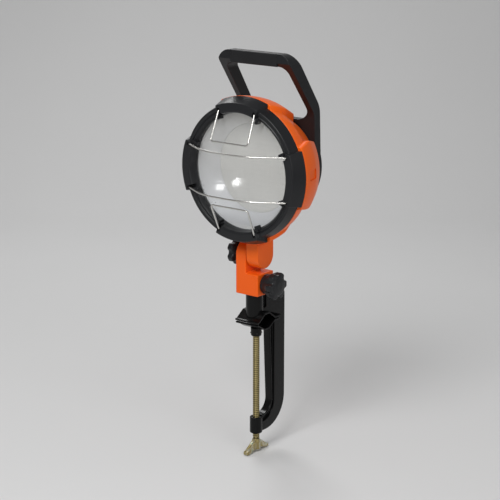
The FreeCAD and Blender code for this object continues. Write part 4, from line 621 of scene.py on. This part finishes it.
def makePost():
    p = post
    section = rounded([
        (0, p["low"]), (p["radius"], p["low"]), (p["radius"], p["top"], p["soft"]), (p["spigot"], p["top"]),
        (p["spigot"], p["grooveLow"]), (p["groove"], p["grooveLow"]), (p["groove"], p["grooveTop"]),
        (p["spigot"], p["grooveTop"]), (p["spigot"], p["spigotTop"], p["soft"]), (0, p["spigotTop"])])
    stand = spun("post_casting", about("z", (0, swivelY, 0)), section, 96)
    # the post's foot follows the back of the upper jaw, and the casting stands in its slot
    saddle = [(-70, -7), (-20, -7), (-5, 2.5, 2), (5, 2.5, 2), (20, -7), (70, -7), (70, -60), (-70, -60)]
    cut(stand, slab("tool", "yz", rounded(saddle), -30, 30), block(-p["slot"], p["slot"], -4, 6.4, -10, 24),
        block(-p["webSlot"], p["webSlot"], 6, 30, -10, 24), block(-p["slot"], p["slot"], 6, 30, -10, 5))
    for side in (-1, 1):
        cut(stand, plug("z", (upperJaw["screwX"] * side, upperJaw["screwY"], 0), upperJaw["hole"], -10,
                        p["screwDepth"], 32))
    finished(stand, "clamp", "black_paint", "swivel_post", angle=38)


makePost()
print("clamp made")


def makeScrew():
    t = thread
    # a share of the pitch, and the radius there
    shape = ((0.0, t["root"]), (0.08, t["root"]), (0.30, t["crest"]), (0.70, t["crest"]), (0.92, t["root"]))
    turns = math.ceil((t["high"] - t["low"]) / t["pitch"])
    bottom = [(0, t["foot"]), (t["tail"] - t["tailBevel"], t["foot"]),
              (t["tail"], t["foot"] + t["tailBevel"]), (t["tail"], t["low"]), (t["root"], t["low"])]
    top = [(t["neck"], t["high"]), (t["neck"], t["neckTop"]), (t["crest"], t["neckTop"]),
           (t["crest"], t["top"] - t["bevel"]), (t["crest"] - t["bevel"], t["top"]), (0, t["top"])]
    helixStart = len(bottom)
    helixEnd = helixStart + (turns + 2) * len(shape)
    size = helixEnd + len(top)
    points = []
    for k in range(t["steps"]):
        part = k / t["steps"]
        line = list(bottom)
        for turn in range(-1, turns + 1):
            for along, radius in shape:
                level = t["low"] + (turn + along + part) * t["pitch"]
                level = min(max(level, t["low"]), t["high"])
                fade = ease(level - t["low"], 0, t["fade"]) * ease(t["high"] - level, 0, t["fade"])
                line.append((t["root"] + (radius - t["root"]) * fade, level))
        angle = math.tau * part
        points += [(r * math.cos(angle), r * math.sin(angle), z) for r, z in line + top]

    def beside(k, n):
        if k < t["steps"] - 1:
            return (k + 1) * size + n
        # after a full turn the helix has climbed one pitch
        return min(n + len(shape), helixEnd - 1) if helixStart <= n < helixEnd else n

    faces = [(k * size + j, k * size + j + 1, beside(k, j + 1), beside(k, j))
             for k in range(t["steps"]) for j in range(size - 1)]
    finished(made("threaded_rod", points, faces), "screw", "yellow_chromate", "clamp_screw", angle=60)


makeScrew()

wing = {"hub": 6.5, "shoulder": 5.2, "bore": 3.55, "top": -197, "bottom": -213.4, "half": 4.4, "groove": 1.7,
        # distance from the axis, top, bottom and share of the half thickness
        "stations": ((0, -199.2, -212.8, 1.0), (4, -199.2, -212.8, 1.0), (6.5, -199.9, -212.9, 1.0),
                     (9, -201.6, -213.3, 0.99), (12, -203.9, -214.3, 0.97), (15, -206.0, -215.6, 0.95),
                     (18, -208.0, -216.5, 0.97), (21, -209.8, -216.8, 1.0), (23.5, -210.9, -216.8, 1.0),
                     (25.3, -211.6, -216.6, 0.95), (26, -212.6, -215.8, 0.8)),
        # shares of the half thickness, of the height and of the groove's depth
        "outline": ((-0.8, 0, 0), (0.8, 0, 0), (1, 0.12, 0), (1, 0.5, 0), (1, 0.88, 0), (0.8, 1, 0),
                    (0.55, 1, 0), (0.4, 1, 1), (0, 1, 1.15), (-0.4, 1, 1), (-0.55, 1, 0), (-0.8, 1, 0),
                    (-1, 0.88, 0), (-1, 0.5, 0), (-1, 0.12, 0))}


def makeWing():
    w = wing
    rings = []
    for side, order in ((-1, reversed(w["stations"])), (1, w["stations"][1:])):
        for y, high, low, wide in order:
            half = w["half"] * wide
            deep = w["groove"] * ease(y, 5, 9) * (1 - ease(y, 23, 26))
            rings.append([(a * half, y * side, low + b * (high - low) - c * deep)
                          for a, b, c in w["outline"]])
    arms = lofted("wing", rings, closed=False)
    fine = arms.modifiers.new("fine", "SUBSURF")
    fine.levels = fine.render_levels = 2
    settle(arms)
    hub = spun("tool", about("z"), rounded([
        (2.5, w["top"]), (w["shoulder"], w["top"], 0.5), (w["hub"], w["top"] - 4, 1.5),
        (w["hub"], w["bottom"], 1.2), (2.5, w["bottom"])]))
    combined(arms, "UNION", hub)
    cut(arms, plug("z", (0, 0, 0), w["bore"], -240, -180))
    finished(arms, "screw", "yellow_chromate", "wing_handle", angle=40)


makeWing()
print("clamp screw and wing made")

bracket = {"left": -20, "right": 20, "front": -22.75, "back": 14.75, "low": 30.5, "high": 63, "ear": -2,
           "soft": 1.5, "postBore": 9.55, "postDepth": 55.8, "pivotBore": 4.05, "padBore": 6, "padFrom": 10.7,
           "studBore": 4.2}


def rounding(y, z, radius, up, steps=28):
    return [(y - up * radius * math.cos(math.pi * k / steps), z + up * radius * math.sin(math.pi * k / steps))
            for k in range(steps + 1)]


def makeBracket():
    b = bracket
    half = (b["back"] - b["front"]) / 2
    ear = [(b["back"], b["low"]), (b["front"], b["low"])] + rounding(swivelY, pivotZ, half, 1)
    piece = slab("bracket_casting", "yz", ear, b["left"], b["ear"])
    combined(piece, "UNION", block(b["ear"] - 1, b["right"], b["front"], b["back"], b["low"], b["high"]))
    softened(piece, b["soft"], 35)
    cut(piece, plug("z", (0, swivelY, 0), b["postBore"], 20, b["postDepth"]),
        plug("x", (0, swivelY, pivotZ), b["pivotBore"], -30, 0),
        plug("x", (0, swivelY, knobZ), b["padBore"], b["padFrom"], 30),
        plug("x", (0, swivelY, knobZ), b["studBore"], 0, 20))
    finished(piece, "bracket", "orange_paint", "bracket", angle=38)


makeBracket()

stem = {"left": -0.7, "right": 20, "top": 108, "soft": 0.9, "bore": 4, "seat": 6, "seatFrom": 11.5,
        "screwHole": 2, "screwFrom": 97.7}


def makeStem():
    s = stem
    front, back = bracket["front"], bracket["back"]
    outline = [(front, s["top"]), (back, s["top"])] + rounding(swivelY, pivotZ, (back - front) / 2, -1)
    piece = slab("stem_casting", "yz", outline, s["left"], s["right"])
    softened(piece, s["soft"], 35)
    cut(piece, plug("x", (0, swivelY, pivotZ), s["bore"], -5, 16),
        plug("x", (0, swivelY, pivotZ), s["seat"], s["seatFrom"], 16))
    for side in (-1, 1):
        spot = (stemScrews["x"], swivelY + stemScrews["apart"] * side, 0)
        cut(piece, plug("z", spot, s["screwHole"], s["screwFrom"], 109, 32))
    finished(piece, "head", "orange_plastic", "head_stem", angle=38)


makeStem()

knob = {"radius": 20.2, "valley": 15.8, "lobes": 6, "depth": 9.5, "dome": 2.2, "cap": 13.4, "capTop": 12.2,
        "domeFoot": 6, "steps": 168}
knobs = (
    {"name": "swivel_star_knob", "node": "swivel_knob", "side": 1, "z": knobZ, "start": 20.3, "hub": 14.5,
     "hubLength": 14, "bore": 4.0, "boreTo": 39.05, "turned": 0},
    {"name": "tilt_star_knob", "node": "tilt_knob", "side": -1, "z": pivotZ, "start": 21.8, "hub": 10.5,
     "hubLength": 4.5, "bore": 6.0, "boreTo": 31.1, "turned": 30})


def makeKnob(one):
    k = knob
    low = one["start"] + one["hubLength"]
    face = low + k["depth"]

    def place(r, t, angle):
        return (one["side"] * t, swivelY + r * math.cos(angle), one["z"] + r * math.sin(angle))

    # the lobes run back along the hub as ridges
    def section(angle):
        wave = 0.5 + 0.5 * math.cos(k["lobes"] * (angle + math.radians(one["turned"])))
        rim = k["valley"] + (k["radius"] - k["valley"]) * ease(wave, 0.0, 0.8)
        return rounded([
            (one["bore"], one["start"]), (one["hub"], one["start"], 0.5),
            (one["hub"], one["start"] + one["hubLength"] * 0.3, 0.5), (rim, low + 1.5, 1.5),
            (rim + 0.1, face, 2.0), (k["cap"], face + 0.5, 1.2), (k["capTop"], face + 1.3, 0.8),
            (k["domeFoot"], face + k["dome"], 5), (0.0, face + k["dome"]), (0.0, one["boreTo"]),
            (one["bore"], one["boreTo"])], 4)

    piece = spun(one["name"], place, section, k["steps"])
    finished(piece, one["node"], "black_plastic", one["node"], angle=40)


for one in knobs:
    makeKnob(one)
print("bracket, stem and knobs made")

# t is the distance behind the seam
housing = {"radius": 100.6, "dip": 3.4, "waist": 97.2, "waistAt": 20.5, "taper": 0.5321, "edge": 0.5,
           "pad": 25.0, "padSoft": 1.6, "padRadius": 106.2, "padDip": 5.6, "padEnd": 31, "padTaper": 13.6,
           "padRun": 28, "padFade": (57.5, 62), "flare": 5.0,
           "lip": ((88, -2), (92, -2), (92, 0)),
           "levels": (0.0, 0.4, 2, 5, 8, 11, 14, 17, 20.5, 22, 25, 28, 31, 34, 38, 42, 46, 50, 54, 57, 58, 59,
                      60, 61, 62, 63, 66, 70, 73.5),
           "inside": ((56, 73.5), (56, 70.7), (67.4, 70.7), (84.0, 39.5), (78, 39.5), (78, 36.1),
                      (85.8, 36.1), (94.4, 17.7), (97.8, 2.8), (88, 2.8)),
           "recess": ((103.4, -14.5), (112, -14.5), (112, 5.5), (99, 5.5)), "recessLow": -3.5,
           "recessHigh": 11}


def shellRadius(t, raised):
    h = housing
    if t < h["waistAt"]:
        plain = h["radius"] - h["dip"] * (t / h["waistAt"]) ** 1.5
    else:
        plain = h["waist"] - h["taper"] * (t - h["waistAt"])
    if raised <= 0:
        return plain
    if t < h["padEnd"]:
        high = h["padRadius"] - h["padDip"] * (t / h["padEnd"]) ** 1.6
    else:
        high = h["radius"] - h["padTaper"] * ((t - h["padEnd"]) / h["padRun"]) ** 1.12
    high = max(plain, high + (plain - high) * ease(t, *h["padFade"]))
    return plain + (high - plain) * raised


# degrees from the middle of the nearest pad or lug
def offPad(angle):
    return (math.degrees(angle) + 45) % 90 - 45


# the pads widen towards the back
def flared(angle, t):
    half = housing["pad"]
    wide = half + housing["flare"] * min(max(t, 0) / housing["padEnd"], 1)
    off = offPad(angle)
    size = abs(off)
    size = size * wide / half if size < half else wide + (size - half) * (45 - wide) / (45 - half)
    return angle + math.radians(math.copysign(size, off) - off)


def sector(angle, half, soft):
    return 1 - ease(abs(offPad(angle)), half - soft, half + soft)


# even steps round the circle, and more of them at each side of every pad or lug
def spread(steps, half, soft, extra=8):
    marks = set(round(360 * k / steps, 4) for k in range(steps))
    for quarter in range(4):
        for side in (-1, 1):
            for k in range(extra + 1):
                marks.add(round((90 * quarter + side * (half + soft * (2 * k / extra - 1))) % 360, 4))
    return [math.radians(mark) for mark in sorted(marks)]


def makeHousing():
    h = housing
    place = about("y", (0, lamp["seam"], lamp["axis"]))
    rings = []
    for angle in spread(120, h["pad"], h["padSoft"]):
        raised = sector(angle, h["pad"], h["padSoft"])
        line = [place(r, t, angle) for r, t in h["lip"]]
        line += [place(shellRadius(t, raised) - (h["edge"] if t == 0 else 0), t, flared(angle, t))
                 for t in h["levels"]]
        line += [place(r, t, angle) for r, t in h["inside"]]
        rings.append(line)
    shell = lofted("housing_shell", rings)
    combined(shell, "UNION", block(stem["left"], stem["right"], lamp["seam"], bracket["back"], 108.3, 119.5))
    for side in (-1, 1):
        cut(shell, slab("tool", "xy", [(x * side, y) for x, y in h["recess"]], lamp["axis"] + h["recessLow"],
                        lamp["axis"] + h["recessHigh"]))
    for side in (-1, 1):
        spot = (stemScrews["x"], swivelY + stemScrews["apart"] * side, 0)
        cut(shell, plug("z", spot, stemScrews["head"], 119.4, 130, 32),
            plug("z", spot, stemScrews["hole"], 90, 121, 32))
    finished(shell, "head", "orange_plastic", "housing", angle=35)


makeHousing()

guard = {"radius": 1.3, "near": 31.6, "far": 86.7, "end": -36.3, "bend": 4.5, "bow": -46, "bowPeak": -76.5,
         "bowHalf": 38, "bowBend": 90, "loop": -45.5, "loopFront": -63, "loopHalf": 33, "bars": (44.2, -47.2)}
ring = {"lug": 22.5, "soft": 0.8, "notch": 2.2, "notchFrom": 80.5, "notchTo": 94.5, "notchDepth": 13.0,
        "wireHole": 1.35, "wireFront": -40, "wireBack": -36.1,
        "tab": 24.0, "tabHalf": 1.5, "tabFrom": 79.3, "tabTo": 88.2, "tabFront": 20, "tabBack": 9.5,
        "plain": ((83, -7), (83, -11.5, 0.8), (86.0, -15.6, 1.2), (88.4, -15.9, 0.6), (89.6, -14.8, 0.5),
                  (91.0, -16.7, 0.8), (96.2, -17, 1.6), (100.5, 0, 0.5), (92.4, 0), (92.4, -7)),
        "raised": ((83, -7), (83.4, -12, 0.8), (85.0, -19.6, 1.2), (86.0, -21.2, 0.6), (87.0, -21.7, 0.5),
                   (88.2, -22, 0.8), (98.7, -22, 1.8), (106.2, 0, 0.5), (92.4, 0), (92.4, -7))}


def makeRing():
    g = ring
    place = about("y", (0, lamp["seam"], lamp["axis"]))
    plain, lug = rounded(g["plain"]), rounded(g["raised"])
    rings = []
    for angle in spread(144, g["lug"], g["soft"]):
        raised = sector(angle, g["lug"], g["soft"])
        rings.append([place(a + (c - a) * raised, b + (d - b) * raised, angle)
                      for (a, b), (c, d) in zip(plain, lug)])
    bezel = lofted("bezel", rings)
    tabs = []
    for quarter in range(4):
        for side in (-1, 1):
            middle = math.radians(90 * quarter + side * g["tab"])
            half = math.radians(g["tabHalf"])
            corners = []
            for r, turn in ((g["tabFrom"], -half), (g["tabFrom"], half), (g["tabTo"], half),
                            (g["tabTo"], -half)):
                corners.append((r * math.cos(middle + turn), lamp["axis"] + r * math.sin(middle + turn)))
            tab = slab("tool", "xz", corners, lamp["seam"] - g["tabFront"], lamp["seam"] - g["tabBack"])
            tabs.append(softened(tab, 0.7, 30, 2))
    combined(bezel, "UNION", *tabs)
    # a notch and a hole for each end of the guard's wires
    for x, z in ((guard["far"], guard["near"]), (guard["near"], guard["far"])):
        for sideX in (-1, 1):
            for sideZ in (-1, 1):
                angle = math.atan2(z * sideZ, x * sideX)
                corners = []
                for r, wide in ((g["notchFrom"], -1), (g["notchTo"], -1), (g["notchTo"], 1),
                                (g["notchFrom"], 1)):
                    turn = angle + wide * g["notch"] / r
                    corners.append((r * math.cos(turn), lamp["axis"] + r * math.sin(turn)))
                cut(bezel, slab("tool", "xz", corners, lamp["seam"] - 25, lamp["seam"] - g["notchDepth"]))
                cut(bezel, plug("y", (x * sideX, 0, lamp["axis"] + z * sideZ), g["wireHole"], g["wireFront"],
                                g["wireBack"], 24))
    finished(bezel, "head", "black_plastic", "bezel_ring", angle=35)


makeRing()

handle = {"soft": 1.9, "plate": 71, "plateFrom": 49, "plateTo": 63, "hole": 59, "cordHole": 8, "cordZ": 176.5,
          "screws": 65, "screwHole": 2.1, "screwHead": 3.85, "screwSeat": 59.4,
          "side": ((49, 214.5), (49, 291.5, 20), (-7.6, 367.5), (-7.6, 380.5), (7.9, 380.5), (63, 300.5, 30),
                   (63, 214.5)),
          "front": ((-68, 214.5), (68, 214.5), (63, 380.5, 20), (-63, 380.5, 20)),
          "gap": ((-56.48, 281.5, 20), (56.48, 281.5, 20), (53.5, 362.5, 12), (-53.5, 362.5, 12))}
grip = {"half": 41, "slack": 0.15, "front": -7.75, "back": 8.05, "low": 362.35, "high": 380.65, "round": 2,
        "bevel": 0.5, "core": (-6.5, 6.8, 363.6, 379.4), "play": 0.05}


def oblong(front, back, low, high):
    return [(front, low), (back, low), (back, high), (front, high)]


def makeHandle():
    h = handle
    legs = slab("handle_frame", "yz", rounded(h["side"], 8), -70, 70)
    combined(legs, "INTERSECT", slab("tool", "xz", rounded(h["front"], 10), -40, 90))
    cut(legs, slab("tool", "xz", rounded(h["gap"], 10), -50, 100))
    softened(legs, h["soft"], 32)
    combined(legs, "UNION", spun("tool", about("y", (0, 0, lamp["axis"])), rounded([
        (0, h["plateFrom"]), (h["plate"], h["plateFrom"], 0.8), (h["plate"], h["plateTo"], 2.6),
        (0, h["plateTo"])]), 120))
    cut(legs, plug("y", (0, 0, lamp["axis"]), h["hole"], 40, 59, 96),
        plug("y", (0, 0, h["cordZ"]), h["cordHole"], 50, 70))
    for quarter in range(4):
        angle = math.radians(45 + 90 * quarter)
        spot = (h["screws"] * math.cos(angle), 0, lamp["axis"] + h["screws"] * math.sin(angle))
        cut(legs, plug("y", spot, h["screwHole"], 40, 70, 32),
            plug("y", spot, h["screwHead"], h["screwSeat"], 70, 32))
    # under the grip the bar is thinner all round
    seat = slab("tool", "yz", oblong(-9, 9.5, 361, 382), -grip["half"], grip["half"])
    cut(seat, slab("tool", "yz", oblong(*grip["core"]), -60, 60))
    cut(legs, seat)
    finished(legs, "head", "black_plastic", "carry_handle", angle=35)


makeHandle()


def makeGrip():
    g = grip
    long = g["half"] - g["slack"]
    front, back, low, high = g["core"]
    corners = [(*corner, g["round"]) for corner in oblong(g["front"], g["back"], g["low"], g["high"])]
    sleeve = slab("grip", "yz", rounded(corners), -long, long)
    softened(sleeve, g["bevel"], 32)
    bore = oblong(front - g["play"], back + g["play"], low - g["play"], high + g["play"])
    cut(sleeve, slab("tool", "yz", bore, -60, 60))
    finished(sleeve, "head", "grip_rubber", "grip_sleeve", angle=40)


makeGrip()
print("lamp shell and handle made")


# corners are (x, y, z, radius), and the two ends have no radius
def bentPath(corners, steps=10):
    path = [Vector(corners[0][:3])]
    for i in range(1, len(corners) - 1):
        here = Vector(corners[i][:3])
        before = (Vector(corners[i - 1][:3]) - here).normalized()
        after = (Vector(corners[i + 1][:3]) - here).normalized()
        half = before.angle(after) / 2
        radius = corners[i][3]
        middle = here + (before + after).normalized() * (radius / math.sin(half))
        first = here + before * (radius / math.tan(half)) - middle
        last = here + after * (radius / math.tan(half)) - middle
        turn = first.rotation_difference(last)
        for k in range(steps + 1):
            path.append(middle + Quaternion().slerp(turn, k / steps) @ first)
    path.append(Vector(corners[-1][:3]))
    return path


def makeWire(name, node, corners):
    path = bentPath(corners)
    last = len(path) - 1
    flat = None
    rings = []
    for i, spot in enumerate(path):
        ahead = (path[min(i + 1, last)] - path[max(i - 1, 0)]).normalized()
        if flat is None:
            flat = ahead.orthogonal().normalized()
        flat = (flat - ahead * flat.dot(ahead)).normalized()
        other = ahead.cross(flat)
        # each end has a small bevel
        shrinks = {0: ((0.7, 0.0), (1.0, 0.35)), last: ((1.0, -0.35), (0.7, 0.0))}.get(i, ((1.0, 0.0),))
        for shrink, along in shrinks:
            radius = guard["radius"] * shrink
            rings.append([tuple(spot + ahead * along + (flat * math.cos(a) + other * math.sin(a)) * radius)
                          for a in (math.tau * k / 20 for k in range(20))])
    finished(lofted(name, rings, closed=False), "head", "chrome_wire", node, angle=50)


def makeGuard():
    g = guard
    for word, side in (("upper", 1), ("lower", -1)):
        z = lamp["axis"] + g["near"] * side
        makeWire("bowed_wire_" + word, "guard_wire_" + word, [
            (-g["far"], g["end"], z), (-g["far"], g["bow"], z, g["bend"]),
            (-g["bowHalf"], g["bowPeak"], z, g["bowBend"]), (g["bowHalf"], g["bowPeak"], z, g["bowBend"]),
            (g["far"], g["bow"], z, g["bend"]), (g["far"], g["end"], z)])
    for word, side, rise in (("top", 1, g["bars"][0]), ("bottom", -1, g["bars"][1])):
        high = lamp["axis"] + g["far"] * side
        bar = lamp["axis"] + rise
        makeWire("loop_wire_" + word, "guard_loop_" + word, [
            (-g["near"], g["end"], high), (-g["near"], g["loop"], high, g["bend"]),
            (-g["loopHalf"], g["loopFront"], bar, g["bend"]), (g["loopHalf"], g["loopFront"], bar, g["bend"]),
            (g["near"], g["loop"], high, g["bend"]), (g["near"], g["end"], high)])


makeGuard()
print("guard made")

optics = {"steps": 144,
          "window": ((0, -6.0), (88.5, -6.0, 0.5), (88.5, -3.0, 0.5), (0, -3.0)),
          "cone": ((85.4, -2), (87, -2), (87, -0.4), (67.2, 24.5), (67.2, 30.5), (65.1, 30.5), (65.1, 28.1),
                   (61.1, 28.1), (61.1, 26.5), (65.1, 26.5), (65.1, 24.5), (66.2, 22.9), (85.0, -0.2)),
          "disc": ((0, 24.5), (20, 24.5), (40, 24.5), (64, 24.5), (65, 25.0), (65, 26.5), (0, 26.5))}


def makeOptics():
    place = about("y", (0, lamp["seam"], lamp["axis"]))
    window = spun("window", place, rounded(optics["window"]), optics["steps"])
    finished(window, "head", "window_glass", "front_window")
    cone = spun("reflector_cone", place, optics["cone"], optics["steps"])
    finished(cone, "head", "silver_reflector", "reflector", angle=25)
    disc = spun("diffuser_plate", place, optics["disc"], optics["steps"])
    finished(disc, "head", "diffuser", "diffuser_disc", angle=25)


makeOptics()
print("optics made")

# in metres, with each lamp's power in watts, size and place
studio = {"paper": (0.66, 0.66, 0.66), "floorZ": -0.2172, "halfWidth": 4, "bend": 0.9, "world": 0.28,
          "aim": (0, 0, 0.15),
          "lamps": {"key": (30, 0.9, (0.3, -1.5, 1.6)), "fill": (8, 1.2, (1.8, -0.5, 0.9)),
                    "back": (14, 0.8, (-1.2, 1.0, 1.5)), "glint": (0.05, 0.016, (-0.783, -0.95, -0.0735))}}


def makeBackdrop():
    s = studio
    paint = Finish("studioPaper")
    cloud = paint.noise(3, 2)
    paint.set(colour=paint.blend(cloud, s["paper"], tuple(v * 0.97 for v in s["paper"])), rough=0.9)
    sweep = rounded([(-4, -0.2), (-4, 0), (2.3, 0, s["bend"]), (2.3, 3.2)], 24)[1:]
    turn = Matrix.Rotation(math.radians(camera["turn"]), 3, "Z")
    lift = Vector((0, 0, s["floorZ"] / mm))
    points = [tuple(turn @ Vector((side, y, z)) / mm + lift)
              for side in (-s["halfWidth"], s["halfWidth"]) for y, z in sweep]
    size = len(sweep)
    floor = made("backdrop", points, [(j, j + 1, size + j + 1, size + j) for j in range(size - 1)])
    floor.data.materials.append(paint.material)
    floor.data.polygons.foreach_set("use_smooth", [True] * len(floor.data.polygons))


def makeLight():
    world = bpy.data.worlds.new("studio")
    bpy.context.scene.world = world
    world.use_nodes = True
    world.node_tree.nodes["Background"].inputs["Color"].default_value = (1, 1, 1, 1)
    world.node_tree.nodes["Background"].inputs["Strength"].default_value = studio["world"]
    for name, (power, size, spot) in studio["lamps"].items():
        data = bpy.data.lights.new(name, "AREA")
        data.energy = power
        data.size = size
        item = bpy.data.objects.new(name, data)
        item.location = spot
        item.rotation_euler = (Vector(studio["aim"]) - Vector(spot)).to_track_quat("-Z", "Y").to_euler()
        bpy.context.scene.collection.objects.link(item)


makeBackdrop()
makeLight()
bpy.context.scene.view_settings.view_transform = "Standard"
print("studio lit")
